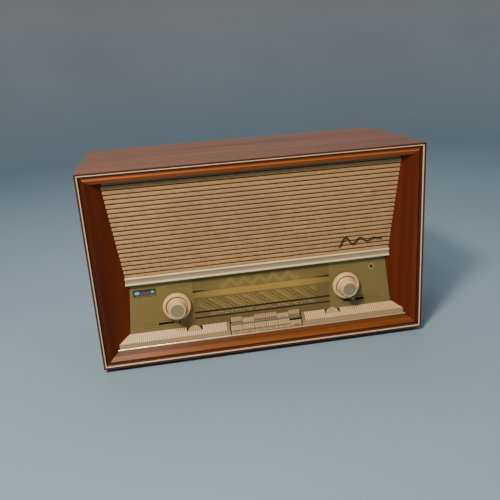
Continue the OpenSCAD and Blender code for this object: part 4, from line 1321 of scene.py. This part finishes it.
class RADIO_OT_stage(Operator):
    """Dished floor and backdrop, studio lights and the camera"""
    bl_idname = "radio.stage"
    bl_label = "Stage"

    floor_radius = 2.6
    sweep_width = 1.2
    middle = (0, 0, 0.2)
    # Name, place, aim, size, power and colour.
    lamps = (("key", (-1.05, -1.5, 1.9), middle, (0.35, 0.35), 56, (1.0, 0.92, 0.80)),
             ("lamp", (-0.36, -0.98, 1.6), (-0.2, -0.1, 0.0), (0.22, 0.22), 8, (1.0, 0.90, 0.74)),
             ("top", (0.0, 0.9, 2.3), middle, (2.2, 1.2), 16, (0.98, 0.98, 1.0)),
             ("fill", (1.6, -1.2, 1.0), middle, (1.2, 1.2), 3, (0.95, 0.97, 1.0)))

    def floor(self, tint):
        """A flat floor that sweeps up into a wall all round."""
        clear_selection()
        bpy.ops.mesh.primitive_circle_add(vertices=96, radius=self.floor_radius,
                                          fill_type="NGON")
        made = active("studio_floor")
        edit_all(made)
        bpy.ops.mesh.inset(thickness=self.sweep_width)
        edit(made, "EDGE")
        leave()
        for edge in made.data.edges:
            ends = [made.data.vertices[v].co.xy.length for v in edge.vertices]
            edge.select = min(ends) > self.floor_radius - 0.1
        bpy.ops.object.mode_set(mode="EDIT")
        for out, up in ((0.35, 0.08), (0.25, 0.22), (0.13, 0.35), (0.05, 0.5), (0.0, 1.8)):
            bpy.ops.mesh.extrude_edges_move(TRANSFORM_OT_translate={"value": (0, 0, up)})
            grow = 1 + out / self.floor_radius
            bpy.ops.transform.resize(value=(grow, grow, 1), center_override=(0, 0, 0))
        leave()
        soften(made, 60)

        def build(s):
            cloud = s.noise(s.here(), 1.2, 3.0, 0.5)
            fine = s.noise(s.here(), 90.0, 3.0, 0.6)
            # Painted light: the floor is given a darker colour and the wall a lighter one, to make
            # up for how the lamps fall on them.
            shade = s.mix(s.ramp(s.axes(s.here())[2], 0.0, 0.9), rgba(tint.floor), rgba(tint.wall))
            shade = s.mix(s.ramp(cloud, 0.3, 0.7, 0.0, 0.1), shade, (0.1, 0.1, 0.1, 1))
            return {"Base Color": shade, "Roughness": s.ramp(fine, 0.0, 1.0, 0.75, 0.9)}
        made.data.materials.append(material("Backdrop", build))

    def light(self, name, where, aim, size, power, tint):
        clear_selection()
        bpy.ops.object.light_add(type="AREA", location=where)
        made = bpy.context.object
        made.name = name
        made.rotation_euler = (Vector(aim) - Vector(where)).to_track_quat("-Z", "Y").to_euler()
        made.data.shape = "RECTANGLE"
        made.data.size, made.data.size_y = size
        made.data.energy = power
        made.data.color = tint

    def camera(self):
        clear_selection()
        where = Vector((-0.169, -1.139, 0.5446))
        aim = Vector((-0.0206, -0.119, 0.2041))
        roll = math.radians(-3.9)
        bpy.ops.object.camera_add(location=where)
        made = bpy.context.object
        made.name = "camera"
        look = (aim - where).to_track_quat("-Z", "Y").to_matrix().to_4x4()
        made.matrix_world = Matrix.Translation(where) @ look @ Matrix.Rotation(roll, 4, "Z")
        made.data.lens = 42.0
        made.data.sensor_width = 36
        bpy.context.scene.camera = made

    def execute(self, context):
        tint = context.scene.radio_colours
        self.floor(tint)
        for lamp in self.lamps:
            self.light(*lamp)
        world = context.scene.world or bpy.data.worlds.new("studio")
        context.scene.world = world
        world.use_nodes = True
        world.node_tree.nodes.clear()
        s = Shade(world.node_tree)
        sky = s.node("ShaderNodeBackground", {"Color": (0.75, 0.82, 0.88, 1), "Strength": 0.22})
        s.node("ShaderNodeOutputWorld", {"Surface": sky.outputs[0]})
        self.camera()
        return {"FINISHED"}


class RADIO_PT_panel(Panel):
    """Buttons for each group of pieces, with their sizes and colours"""
    bl_label = "Valve radio"
    bl_idname = "RADIO_PT_panel"
    bl_space_type = "VIEW_3D"
    bl_region_type = "UI"
    bl_category = "Radio"

    def draw(self, context):
        for step in STEPS:
            self.layout.operator(step.bl_idname)
        for source in (context.scene.radio_sizes, context.scene.radio_colours):
            box = self.layout.box()
            for key in source.__annotations__:
                box.prop(source, key)


STEPS = (RADIO_OT_stage, RADIO_OT_cabinet, RADIO_OT_front, RADIO_OT_cloth, RADIO_OT_dial,
    RADIO_OT_shelf, RADIO_OT_keys, RADIO_OT_knobs, RADIO_OT_works, RADIO_OT_back)
CLASSES = (RadioSizes, RadioColours, *STEPS, RADIO_PT_panel)


def register():
    for cls in CLASSES:
        bpy.utils.register_class(cls)
    bpy.types.Scene.radio_sizes = PointerProperty(type=RadioSizes)
    bpy.types.Scene.radio_colours = PointerProperty(type=RadioColours)


def unregister():
    del bpy.types.Scene.radio_colours
    del bpy.types.Scene.radio_sizes
    for cls in reversed(CLASSES):
        bpy.utils.unregister_class(cls)


def main():
    register()
    for step in STEPS:
        getattr(bpy.ops.radio, step.bl_idname.partition(".")[2])()
    clear_selection()


if __name__ == "__main__":
    main()
